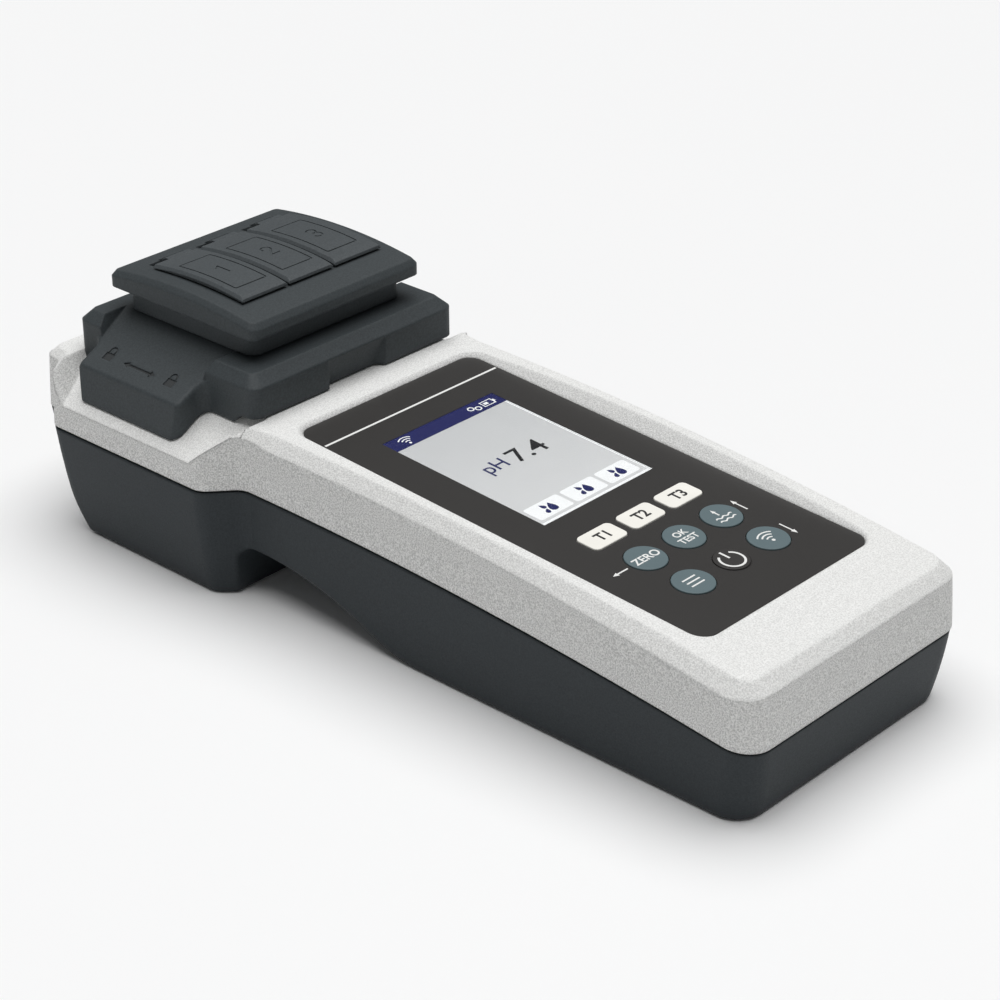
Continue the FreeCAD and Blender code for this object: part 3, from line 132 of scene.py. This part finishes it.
def add_world():
    world = bpy.data.worlds.new("studio")
    world.use_nodes = True
    tree = world.node_tree
    fill = tree.nodes["Background"]
    fill.inputs["Color"].default_value = FILL_COLOUR
    fill.inputs["Strength"].default_value = FILL_STRENGTH
    backdrop = tree.nodes.new("ShaderNodeBackground")
    backdrop.inputs["Color"].default_value = BACKDROP_COLOUR
    seen = tree.nodes.new("ShaderNodeLightPath")
    mix = tree.nodes.new("ShaderNodeMixShader")
    tree.links.new(seen.outputs["Is Camera Ray"], mix.inputs[0])
    tree.links.new(fill.outputs[0], mix.inputs[1])
    tree.links.new(backdrop.outputs[0], mix.inputs[2])
    tree.links.new(mix.outputs[0], tree.nodes["World Output"].inputs["Surface"])
    bpy.context.scene.world = world
    bpy.context.scene.view_settings.view_transform = "Standard"


def add_floor():
    bpy.ops.mesh.primitive_plane_add(size=FLOOR_SIZE, location=(0, 0, FLOOR_Z))
    floor = bpy.context.object
    floor.name = "floor"
    floor.data.materials.append(floor_material())


# ---------------------------------------------------------------- material tools
class Look:
    """A node material with one Principled shader and object-space coordinates."""

    def __init__(self, name, roughness=0.5, **constants):
        self.material = bpy.data.materials.new(name)
        self.material.use_nodes = True
        self.tree = self.material.node_tree
        self.shader = self.tree.nodes["Principled BSDF"]
        self.shader.inputs["Roughness"].default_value = roughness
        for socket, value in constants.items():
            self.shader.inputs[socket.replace("_", " ")].default_value = value
        self.place = self.add("ShaderNodeTexCoord").outputs["Object"]

    def add(self, kind, **inputs):
        node = self.tree.nodes.new(kind)
        for socket, value in inputs.items():
            self.set(node, socket.replace("_", " "), value)
        return node

    def set(self, node, socket, value):
        if isinstance(value, bpy.types.NodeSocket):
            self.tree.links.new(value, node.inputs[socket])
        else:
            node.inputs[socket].default_value = value

    def noise(self, size_mm, detail=2.0, roughness=0.5):
        node = self.add("ShaderNodeTexNoise", Vector=self.place, Scale=1 / (size_mm * MM), Detail=detail,
                        Roughness=roughness)
        return node.outputs["Fac"]

    def cells(self, size_mm):
        node = self.add("ShaderNodeTexVoronoi", Vector=self.place, Scale=1 / (size_mm * MM))
        return node.outputs["Distance"]

    def ramp(self, value, low, high, out_low, out_high):
        node = self.add("ShaderNodeMapRange", Value=value)
        node.inputs["From Min"].default_value = low
        node.inputs["From Max"].default_value = high
        node.inputs["To Min"].default_value = out_low
        node.inputs["To Max"].default_value = out_high
        return node.outputs["Result"]

    def blend(self, value, first, second):
        node = self.tree.nodes.new("ShaderNodeMix")
        node.data_type = "RGBA"
        self.tree.links.new(value, node.inputs[0])
        for socket, colour in ((node.inputs[6], first), (node.inputs[7], second)):
            if isinstance(colour, bpy.types.NodeSocket):
                self.tree.links.new(colour, socket)
            else:
                socket.default_value = (*colour, 1)
        return node.outputs[2]

    def product(self, first, second):
        node = self.tree.nodes.new("ShaderNodeMath")
        node.operation = "MULTIPLY"
        self.tree.links.new(first, node.inputs[0])
        self.tree.links.new(second, node.inputs[1])
        return node.outputs["Value"]

    def edges(self, radius_mm):
        """1 on sharp edges, inner and outer, 0 on flat places."""
        bevel = self.add("ShaderNodeBevel", Radius=radius_mm * MM)
        bevel.samples = 4
        plain = self.add("ShaderNodeNewGeometry").outputs["Normal"]
        dot = self.tree.nodes.new("ShaderNodeVectorMath")
        dot.operation = "DOT_PRODUCT"
        self.tree.links.new(bevel.outputs["Normal"], dot.inputs[0])
        self.tree.links.new(plain, dot.inputs[1])
        return self.ramp(dot.outputs["Value"], 0.995, 0.88, 0.0, 1.0)

    def colour(self, socket):
        self.tree.links.new(socket, self.shader.inputs["Base Color"])

    def rough(self, socket):
        self.tree.links.new(socket, self.shader.inputs["Roughness"])

    def bump(self, height, depth_mm, strength=1.0, round_mm=0.0):
        """Relief on the surface; round_mm softens the sharp edges under it."""
        node = self.add("ShaderNodeBump", Height=height, Strength=strength, Distance=depth_mm * MM)
        if round_mm:
            bevel = self.add("ShaderNodeBevel", Radius=round_mm * MM)
            bevel.samples = 6
            self.tree.links.new(bevel.outputs["Normal"], node.inputs["Normal"])
        self.tree.links.new(node.outputs["Normal"], self.shader.inputs["Normal"])

    def glow(self, socket, strength):
        self.tree.links.new(socket, self.shader.inputs["Emission Color"])
        self.shader.inputs["Emission Strength"].default_value = strength


def shade(colour, factor):
    return tuple(min(1.0, c * factor) for c in colour)


def floor_material():
    look = Look("studio_floor", 0.7, Specular_IOR_Level=0.1)
    look.colour(look.blend(look.noise(400, 2), (0.90, 0.90, 0.90), (0.92, 0.92, 0.92)))
    look.bump(look.noise(3, 3), 0.05, 0.2)
    return look.material


def textured_white():
    """White housing plastic: grain in relief, and a speckle; upright walls are painted darker with a stronger
    speckle, as painted shade.
    """
    look = Look("white_housing_plastic", 0.6, Specular_IOR_Level=0.3)
    grain = look.noise(0.42, 3, 0.7)
    speckle = look.ramp(look.noise(0.34, 1.5), 0.36, 0.64, 0.0, 1.0)
    # painted shade: faces that turn from upward to upright get a darker base colour and a stronger speckle
    facing_for_painted_shade = look.add("ShaderNodeSeparateXYZ", Vector=look.add("ShaderNodeTexCoord").outputs["Normal"])
    upward = look.ramp(facing_for_painted_shade.outputs["Z"], 0.3, 0.95, 0.0, 1.0)
    side = look.blend(speckle, (0.52, 0.52, 0.51), (0.88, 0.88, 0.865))
    top = look.blend(speckle, (0.74, 0.74, 0.725), (0.95, 0.95, 0.935))
    body = look.blend(upward, side, top)
    tone = look.ramp(look.noise(38, 2), 0.3, 0.7, 0.0, 0.10)
    look.colour(look.blend(tone, body, (0.78, 0.775, 0.75)))
    look.rough(look.ramp(grain, 0.3, 0.7, 0.68, 0.5))
    look.bump(grain, 0.19, 1.0, 1.3)
    return look.material


def grained_dark(name, colour, grain_mm, depth_mm, round_mm):
    """Charcoal moulded plastic: fine grain, slow tone change, edges paler in places, partly wear and partly a
    painted highlight.
    """
    look = Look(name, 0.55, Specular_IOR_Level=0.25)
    grain = look.noise(grain_mm, 3, 0.6)
    fleck = look.ramp(look.noise(grain_mm * 1.4, 1), 0.3, 0.7, 0.0, 1.0)
    body = look.blend(fleck, shade(colour, 0.84), shade(colour, 1.14))
    tone = look.ramp(look.noise(45, 2), 0.3, 0.7, 0.0, 0.25)
    body = look.blend(tone, body, shade(colour, 1.2))
    # edges paler in places: partly wear, partly a painted highlight along the edges
    wear_and_edge_highlight = look.product(look.edges(0.5), look.ramp(look.noise(2.5, 3), 0.4, 0.7, 0.05, 0.5))
    look.colour(look.blend(wear_and_edge_highlight, body, shade(colour, 2.0)))
    look.rough(look.ramp(grain, 0.3, 0.7, 0.62, 0.48))
    look.bump(grain, depth_mm, 0.8, round_mm)
    return look.material


def satin_film(name, colour):
    """Printed polyester film with a faint fine stipple."""
    look = Look(name, 0.38, Specular_IOR_Level=0.4)
    stipple = look.noise(0.12, 2)
    look.colour(look.blend(look.noise(22, 2), shade(colour, 0.94), shade(colour, 1.08)))
    look.rough(look.ramp(stipple, 0.3, 0.7, 0.34, 0.46))
    look.bump(stipple, 0.012, 0.5)
    return look.material


def printed_ink(name, colour):
    look = Look(name, 0.5)
    look.colour(look.blend(look.noise(0.25, 2), shade(colour, 0.93), shade(colour, 1.03)))
    look.bump(look.noise(0.1, 2), 0.006, 0.4)
    return look.material


def screen_print(name, colour, strength=0.9):
    """Lit picture element of the display, with a fine cell pattern that stands for its pixels."""
    look = Look(name, 0.6, Specular_IOR_Level=0.05)
    raster = look.cells(RASTER)
    lit = look.blend(look.ramp(raster, 0.2, 0.7, 0.0, 1.0), shade(colour, 1.02), shade(colour, 0.94))
    look.colour(look.blend(raster, shade(colour, 0.12), shade(colour, 0.10)))
    look.glow(lit, strength)
    look.bump(raster, 0.002, 0.2)
    return look.material


def screen_ground():
    """Light grey ground of the picture, paler towards its foot."""
    look = Look("screen_ground", 0.6, Specular_IOR_Level=0.05)
    parts = look.add("ShaderNodeSeparateXYZ", Vector=look.place)
    height = look.ramp(parts.outputs["Y"], SHADE_LOW_Y, SHADE_HIGH_Y, 0.0, 1.0)
    raster = look.ramp(look.cells(RASTER), 0.2, 0.7, 0.0, 0.06)
    tone = look.blend(height, (0.86, 0.865, 0.87), (0.72, 0.73, 0.74))
    lit = look.blend(raster, tone, (0.45, 0.45, 0.46))
    look.colour(look.blend(raster, (0.08, 0.08, 0.08), (0.07, 0.07, 0.07)))
    look.glow(lit, 0.9)
    look.bump(raster, 0.002, 0.2)
    return look.material


def silicone_key(name, colour):
    look = Look(name, 0.5, Specular_IOR_Level=0.35)
    fine = look.noise(0.2, 3)
    # painted highlight: the keys' edges are made lighter all round
    painted_rim_highlight = look.edges(0.25)
    body = look.blend(look.noise(6, 2), shade(colour, 0.94), shade(colour, 1.08))
    look.colour(look.blend(look.ramp(painted_rim_highlight, 0, 1, 0, 0.35), body, shade(colour, 1.4)))
    look.rough(look.ramp(fine, 0.3, 0.7, 0.46, 0.58))
    look.bump(fine, 0.012, 0.6)
    return look.material


def rubber():
    look = Look("seal_rubber", 0.75, Specular_IOR_Level=0.25)
    fine = look.noise(0.3, 3)
    look.colour(look.blend(fine, (0.010, 0.010, 0.011), (0.022, 0.022, 0.023)))
    look.bump(fine, 0.03, 0.6)
    return look.material


def metal(name, colour, roughness=0.3):
    look = Look(name, roughness, Metallic=1.0)
    turn = look.noise(0.35, 4)
    look.colour(look.blend(look.noise(1.5, 2), shade(colour, 0.8), colour))
    look.rough(look.ramp(turn, 0.3, 0.7, roughness * 0.7, roughness * 1.4))
    look.bump(turn, 0.01, 0.5)
    return look.material


def circuit_board():
    look = Look("circuit_board", 0.35, Specular_IOR_Level=0.5)
    tracks = look.ramp(look.cells(1.6), 0.42, 0.46, 0.0, 1.0)
    look.colour(look.blend(tracks, (0.012, 0.085, 0.035), (0.02, 0.14, 0.055)))
    look.rough(look.ramp(look.noise(0.8, 2), 0.3, 0.7, 0.25, 0.42))
    look.bump(tracks, 0.03, 0.6)
    return look.material


def matt_black(name, grain_mm=0.4, tone=0.012):
    look = Look(name, 0.7, Specular_IOR_Level=0.2)
    grain = look.noise(grain_mm, 3)
    look.colour(look.blend(grain, (tone * 0.7,) * 3, (tone * 1.5,) * 3))
    look.rough(look.ramp(grain, 0.3, 0.7, 0.62, 0.82))
    look.bump(grain, 0.03, 0.6)
    return look.material


def foam():
    look = Look("foam_frame", 0.9, Specular_IOR_Level=0.1)
    pores = look.cells(0.35)
    look.colour(look.blend(look.ramp(pores, 0.1, 0.5, 0, 1), (0.01, 0.01, 0.01), (0.035, 0.035, 0.037)))
    look.bump(pores, 0.15, 0.8)
    return look.material


def cell_jacket():
    """Plain battery sleeve: dark wrap, with a copper-coloured band towards +X on every cell."""
    look = Look("cell_jacket", 0.3, Metallic=0.5)
    parts = look.add("ShaderNodeSeparateXYZ", Vector=look.place)
    band = look.ramp(parts.outputs["X"], 0.0090, 0.0094, 0.0, 1.0)
    body = look.blend(look.noise(4, 2), (0.03, 0.03, 0.033), (0.05, 0.05, 0.054))
    look.colour(look.blend(band, body, (0.55, 0.28, 0.12)))
    look.rough(look.ramp(look.noise(0.6, 3), 0.3, 0.7, 0.22, 0.4))
    look.bump(look.noise(0.5, 2), 0.01, 0.3)
    return look.material


def clear_moulding(name, colour, roughness):
    look = Look(name, roughness, IOR=1.49, Transmission_Weight=1.0, Specular_IOR_Level=0.12)
    look.colour(look.blend(look.noise(9, 2), colour, shade(colour, 0.97)))
    look.rough(look.ramp(look.noise(3, 3), 0.3, 0.7, roughness * 0.6, roughness * 1.6))
    look.bump(look.noise(7, 2), 0.01, 0.15)
    return look.material


def build_materials():
    casing = (0.029, 0.0355, 0.040)
    head = (0.046, 0.054, 0.058)
    return {
        "dark_casing": grained_dark("dark_casing_plastic", casing, 0.30, 0.022, 0.9),
        "dark_head": grained_dark("dark_head_plastic", head, 0.34, 0.035, 0.8),
        "dark_flap": grained_dark("dark_flap_plastic", (0.066, 0.075, 0.080), 0.34, 0.025, 0.3),
        "white_plastic": textured_white(),
        "seal_rubber": rubber(),
        "label_film": satin_film("label_film", (0.027, 0.025, 0.0235)),
        "clear_window": clear_moulding("clear_window", (0.97, 0.98, 0.98), 0.03),
        "display": matt_black("display_bezel", 0.5, 0.02),
        "foam": foam(),
        "switch_black": matt_black("switch_black", 0.3, 0.02),
        "circuit_board": circuit_board(),
        "chip_black": matt_black("chip_black", 0.25, 0.015),
        "steel": metal("zinc_steel", (0.62, 0.62, 0.64)),
        "cell_jacket": cell_jacket(),
        "contact_spring": metal("nickel_contact", (0.72, 0.70, 0.66), 0.22),
        "optics_black": matt_black("optics_black", 0.35, 0.01),
        "led_clear": clear_moulding("led_epoxy", (0.95, 0.96, 0.97), 0.06),
        "metal_can": metal("gold_flash", (0.75, 0.62, 0.35), 0.25),
        "clear_cell": clear_moulding("cuvette_clear", (0.95, 0.975, 0.98), 0.03),
        "key_ivory": silicone_key("key_ivory", (0.90, 0.88, 0.82)),
        "key_grey": silicone_key("key_grey", (0.112, 0.158, 0.172)),
        "key_dark": silicone_key("key_dark", (0.029, 0.0265, 0.025)),
        "ink_white": printed_ink("ink_white", (0.88, 0.88, 0.86)),
        "ink_black": printed_ink("ink_black", (0.012, 0.012, 0.012)),
        "screen_ground": screen_ground(),
        "screen_navy": screen_print("screen_navy", (0.010, 0.014, 0.125)),
        "screen_white": screen_print("screen_white", (0.97, 0.98, 0.99), 1.15),
        # painted shade: near-black floors for the sunk lock signs on the wings
        "sign_painted_shade": printed_ink("sign_painted_shade", (0.014, 0.017, 0.019)),
        "screen_black": screen_print("screen_black", (0.012, 0.012, 0.014)),
    }


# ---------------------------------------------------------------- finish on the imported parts
def dress_nodes(looks):
    for row in frame["record"]["subparts"]:
        node = NODES[row["node"]]
        slot = row["material_slot"]
        if slot == "dark_plastic":
            if row["node"] in ("lower_case", "battery_cover"):
                slot = "dark_casing"
            else:
                slot = "dark_flap" if row["node"].startswith("flap") else "dark_head"
        node.data.materials.clear()
        node.data.materials.append(looks[slot])


# ---------------------------------------------------------------- outlines of flat drawings, in millimetres
def ring(x, y, radius, stroke, start=0.0, end=360.0, steps=48):
    """Closed outline of a ring sector; angles in degrees, from +X towards +Y."""
    outer = []
    inner = []
    for i in range(steps + 1):
        angle = math.radians(start + (end - start) * i / steps)
        for row, r in ((outer, radius + stroke / 2), (inner, radius - stroke / 2)):
            row.append((x + r * math.cos(angle), y + r * math.sin(angle)))
    return outer + inner[::-1]


def disc(x, y, radius, steps=32):
    return [(x + radius * math.cos(2 * math.pi * i / steps), y + radius * math.sin(2 * math.pi * i / steps))
            for i in range(steps)]


def rectangle(x0, x1, y0, y1, r=0.0, steps=6):
    """Rectangle, with corners rounded by r."""
    if not r:
        return [(x0, y0), (x1, y0), (x1, y1), (x0, y1)]
    outline = []
    corners = ((x1 - r, y0 + r, -90), (x1 - r, y1 - r, 0), (x0 + r, y1 - r, 90), (x0 + r, y0 + r, 180))
    for cx, cy, start in corners:
        for i in range(steps + 1):
            angle = math.radians(start + 90 * i / steps)
            outline.append((cx + r * math.cos(angle), cy + r * math.sin(angle)))
    return outline


def wave(x0, x1, y, height, stroke, swings=2.5, steps=40):
    top = []
    low = []
    for i in range(steps + 1):
        x = x0 + (x1 - x0) * i / steps
        mid = y + height * math.sin(2 * math.pi * swings * i / steps)
        top.append((x, mid + stroke / 2))
        low.append((x, mid - stroke / 2))
    return low + top[::-1]


def drop(x, y, size, turn=0.0, steps=28):
    """Water drop: round below, pointed above, turned by turn degrees about its middle."""
    c, s = math.cos(math.radians(turn)), math.sin(math.radians(turn))
    outline = []
    for i in range(steps):
        angle = 2 * math.pi * i / steps
        px = size * 0.62 * math.sin(angle) * math.sin(angle / 2) ** 1.3
        py = size * 0.72 * math.cos(angle)
        outline.append((x + px * c - py * s, y + px * s + py * c))
    return outline


def arrow(x, y, length, direction, stroke=0.4, head=1.5):
    """Arrow of that length around (x, y), pointing along the unit vector direction."""
    dx, dy = direction
    tip, neck, half, barb = length / 2, length / 2 - head, stroke / 2, head / 2.4
    shaft = [(-tip, -half), (neck, -half), (neck, -barb), (tip, 0), (neck, barb), (neck, half), (-tip, half)]
    return [(x + a * dx - b * dy, y + a * dy + b * dx) for a, b in shaft]


def wifi(x, y, size):
    """Dot with three arcs above it."""
    outlines = [disc(x, y, 0.12 * size)]
    for k in (0.38, 0.68, 0.98):
        outlines.append(ring(x, y, k * size, 0.11 * size, 48, 132))
    return outlines


def padlock(y, lift, turn):
    """Padlock on its side, body outwards, shackle towards the lid, open by lift and turn."""
    shackle = [ring(0, 0, 0.925, 0.45, 90, 270), rectangle(0, 1.1, -1.15, -0.7)]
    shackle.append(rectangle(0, 1.1 - lift, 0.7, 1.15))
    c, s = math.cos(math.radians(turn)), math.sin(math.radians(turn))
    outlines = [rectangle(-1.05, 1.2, y - 1.5, y + 1.5)]
    for outline in shackle:
        outlines.append([((px - 1.0) * c - (py + 0.9) * s - 0.9, (px - 1.0) * s + (py + 0.9) * c - 0.9 + y)
                         for px, py in outline])
    return outlines


# ---------------------------------------------------------------- drawings placed on the object
class DrawingPlane:
    """Places flat drawings, given in millimetres, on a tilted plane of the object."""

    def __init__(self, origin, normal):
        right = (Vector((1, 0, 0)) - normal.x * normal).normalized()
        self.matrix = Matrix((right, normal.cross(right), normal)).transposed().to_4x4()
        self.matrix.translation = origin

    def put(self, name, mesh, material, level_mm, body):
        """Object from a mesh in millimetres, at that level over the plane, riding on the body."""
        mesh.materials.clear()
        mesh.materials.append(material)
        obj = bpy.data.objects.new(name, mesh)
        bpy.context.scene.collection.objects.link(obj)
        obj.matrix_world = self.matrix @ Matrix.Translation((0, 0, level_mm * MM)) @ Matrix.Scale(MM, 4)
        bpy.context.view_layer.update()
        obj.select_set(True)
        bpy.context.view_layer.objects.active = obj
        bpy.ops.object.transform_apply(location=False, rotation=False, scale=True)
        obj.select_set(False)
        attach(obj, body)
        return obj

    def drawing(self, name, outlines, level_mm, thick_mm, material, body):
        """Flat pieces of that thickness, one for each outline."""
        points = []
        faces = []
        for outline in outlines:
            n = len(outline)
            turns = zip(outline, outline[1:] + outline[:1])
            if sum(a[0] * b[1] - b[0] * a[1] for a, b in turns) < 0:
                outline = outline[::-1]
            base = len(points)
            points += [(x, y, 0.0) for x, y in outline] + [(x, y, thick_mm) for x, y in outline]
            faces.append([base + i for i in range(n)][::-1])
            faces.append([base + n + i for i in range(n)])
            for i in range(n):
                j = (i + 1) % n
                faces.append([base + i, base + j, base + n + j, base + n + i])
        mesh = bpy.data.meshes.new(name)
        mesh.from_pydata(points, [], faces)
        return self.put(name, mesh, material, level_mm, body)

    def words(self, name, lines, centre, cap_mm, level_mm, thick_mm, material, body, bold, stretch=1.0):
        """Lettering about its centre, with capitals cap_mm tall."""
        data = bpy.data.curves.new(name, "FONT")
        data.body = lines
        data.align_x = "CENTER"
        data.align_y = "CENTER"
        data.size = cap_mm / 0.70
        data.space_line = 0.98
        data.offset = bold
        data.extrude = thick_mm / 2
        text = bpy.data.objects.new(name, data)
        bpy.context.scene.collection.objects.link(text)
        graph = bpy.context.evaluated_depsgraph_get()
        mesh = bpy.data.meshes.new_from_object(text.evaluated_get(graph))
        bpy.data.objects.remove(text)
        xs = [v.co.x for v in mesh.vertices]
        ys = [v.co.y for v in mesh.vertices]
        cx = (min(xs) + max(xs)) / 2
        cy = (min(ys) + max(ys)) / 2
        for v in mesh.vertices:
            v.co = ((v.co.x - cx) * stretch + centre[0], v.co.y - cy + centre[1], v.co.z + thick_mm / 2)
        mesh.name = name
        self.put(name, mesh, material, level_mm, body)


def label_plane():
    """The label's top face, from its near edge, square to the way the keys press."""
    joints = frame["record"]["behaviour"]["joints"]
    axis = next(Vector(joint["axis"]) for joint in joints if joint["name"] == "key_ok_press")
    normal = -axis.normalized()
    low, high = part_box("keypad_overlay")
    film = 0.6 * MM
    origin = Vector((0.5 * (low[0] + high[0]), low[1] - normal.y * film, low[2] + normal.z * film))
    return DrawingPlane(origin, normal)


def add_label_print(plane, looks):
    white = looks["ink_white"]
    lines = [rectangle(-LINE_HALF, LINE_HALF, LINE_Y - LINE_T, LINE_Y + LINE_T),
             arrow(-21.3, 29.2, 4.8, (-1, 0)), arrow(19.7, 29.6, 5.0, (0, 1)), arrow(19.7, 15.7, 5.2, (0, -1))]
    plane.drawing("label_print", lines, 0.002, PRINT_T, white, BODY_OF["keypad_overlay"])


def add_power_key_web(plane, looks):
    """Fills most of the gap round the power key, in the label's colour."""
    halves = [ring(0, ROW_B, WEB_R, WEB_W, 0, 180), ring(0, ROW_B, WEB_R, WEB_W, 180, 360)]
    body = BODY_OF["keypad_overlay"]
    web = plane.drawing("power_key_web", halves, WEB_Z, WEB_T, looks["label_film"], body)


def add_key_legends(plane, looks):
    words = (("key_t1", "T1", (-KEY_X, ROW_T), 2.8, "ink_black", 0.11),
             ("key_t2", "T2", (0.0, ROW_T), 2.8, "ink_black", 0.11),
             ("key_t3", "T3", (KEY_X, ROW_T), 2.8, "ink_black", 0.11),
             ("key_zero", "ZERO", (-KEY_X, ROW_A), 2.2, "ink_white", 0.06),
             ("key_ok", "OK\nTEST", (0.0, ROW_A), 1.9, "ink_white", 0.05))
    for key, text, centre, cap, ink, bold in words:
        plane.words(key + "_legend", text, centre, cap, KEY_TOP, PRINT_T, looks[ink], BODY_OF[key], bold)
    sample = [arrow(KEY_X - 0.4, ROW_A + 1.6, 2.7, (0, 1), 0.4, 1.3)]
    sample += [wave(KEY_X - 2.6, KEY_X + 2.6, ROW_A + y, 0.22, 0.42) for y in (-0.75, -2.1)]
    x0, x1 = -KEY_X - 2.1, -KEY_X + 2.1
    bars = [rectangle(x0, x1, ROW_B + y - 0.21, ROW_B + y + 0.21) for y in (-1.35, 0, 1.35)]
    power = [ring(0, ROW_B - 0.2, 2.9, 0.55, -235, 55), rectangle(-0.28, 0.28, ROW_B + 0.5, ROW_B + 3.4)]
    signs = (("key_up", sample), ("key_menu", bars), ("key_power", power),
             ("key_wireless", wifi(KEY_X, ROW_B - 1.4, 3.6)))
    for key, outlines in signs:
        plane.drawing(key + "_legend", outlines, KEY_TOP, PRINT_T, looks["ink_white"], BODY_OF[key])


def add_wing_signs(looks):
    """Dark floors in the sunk lock signs of both wings: painted shade for the recesses."""
    node = NODES["cuvette_adapter"]
    inverse = node.matrix_world.inverted()
    outlines = padlock(CLOSED_LOCK_Y, 0.0, 0) + padlock(OPEN_LOCK_Y, OPEN_LIFT, OPEN_TURN)
    outlines += [rectangle(-0.35, 0.35, -4.0, 4.0)]
    outlines += [[(-0.95, way * 3.75), (0.95, way * 3.75), (0, way * 5.6)] for way in (1, -1)]
    down = inverse.to_3x3() @ Vector((0, 0, -1))
    for side, name in ((-1, "lock_sign_painted_shade_left"), (1, "lock_sign_painted_shade_right")):
        above = Vector((side * SIGN_X, SIGN_Y, 0.2))
        hit, place, normal, _ = node.ray_cast(inverse @ above, down)
        if not hit:
            raise RuntimeError("no wing under the lock signs")
        upward = (node.matrix_world.to_3x3() @ normal).normalized()
        plane = DrawingPlane(node.matrix_world @ place, upward)
        flipped = [[(side * px, py) for px, py in outline] for outline in outlines]
        # these pieces are painted shade, laid in the sunk signs
        plane.drawing(name, flipped, 0.01, 0.03, looks["sign_painted_shade"], BODY_OF["cuvette_adapter"])


def add_screen_picture(plane, looks):
    body = BODY_OF["display_module"]
    x0, x1, y0, y1 = SCREEN
    foot_y = y0 + FOOT_T

    def layer(name, outlines, step, look):
        plane.drawing(name, outlines, PICTURE_LEVEL + step * LAYER_STEP, LAYER_T, looks[look], body)

    layer("screen_ground", [rectangle(x0, x1, y0, y1)], 0, "screen_ground")
    layer("screen_status_bar", [rectangle(x0, x1, STATUS_Y, y1)], 1, "screen_navy")
    border = [rectangle(x0, x1, y0, foot_y), rectangle(x0, x0 + BORDER_T, foot_y, STATUS_Y),
              rectangle(x1 - BORDER_T, x1, foot_y, STATUS_Y)]
    layer("screen_border", border, 1, "screen_white")
    boxes = [rectangle(a, b, SOFT_KEY_Y0, SOFT_KEY_Y1, SOFT_KEY_R) for a, b in SOFT_KEY_ENDS]
    layer("screen_soft_keys", boxes, 1, "screen_white")
    drops = []
    for cx in DROP_GROUPS_X:
        drops += [drop(cx + 0.95, 58.4, 2.5, -8), drop(cx - 0.9, 59.6, 1.4, 20),
                  drop(cx - 1.2, 57.6, 1.4, -30)]
    layer("screen_drops", drops, 2, "screen_navy")
    dots = [ring(9.2, 101.5, 0.75, 0.35), ring(10.9, 100.6, 0.75, 0.35)]
    battery = [rectangle(12.6, 16.4, 99.9, 100.15), rectangle(12.6, 16.4, 102.0, 102.25),
               rectangle(12.6, 12.9, 100.15, 102.0), rectangle(16.1, 16.4, 100.15, 102.0),
               rectangle(16.4, 16.9, 100.6, 101.55), rectangle(13.3, 14.6, 100.6, 101.55)]
    layer("screen_icons", wifi(-12.6, 99.9, 2.9) + dots + battery, 2, "screen_white")
    level = PICTURE_LEVEL + LAYER_STEP
    plane.words("screen_quantity", "pH", (-6.6, 78.6), 4.2, level, LAYER_T, looks["screen_navy"], body, 0.04)
    plane.words("screen_reading", "7.4", (4.2, 79.2), 5.6, level, LAYER_T, looks["screen_black"], body, 0.05,
                1.15)


add_camera()
add_world()
add_lights()
add_floor()
PLANE = label_plane()
LOOKS = build_materials()
dress_nodes(LOOKS)
add_label_print(PLANE, LOOKS)
add_power_key_web(PLANE, LOOKS)
add_key_legends(PLANE, LOOKS)
add_wing_signs(LOOKS)
add_screen_picture(PLANE, LOOKS)
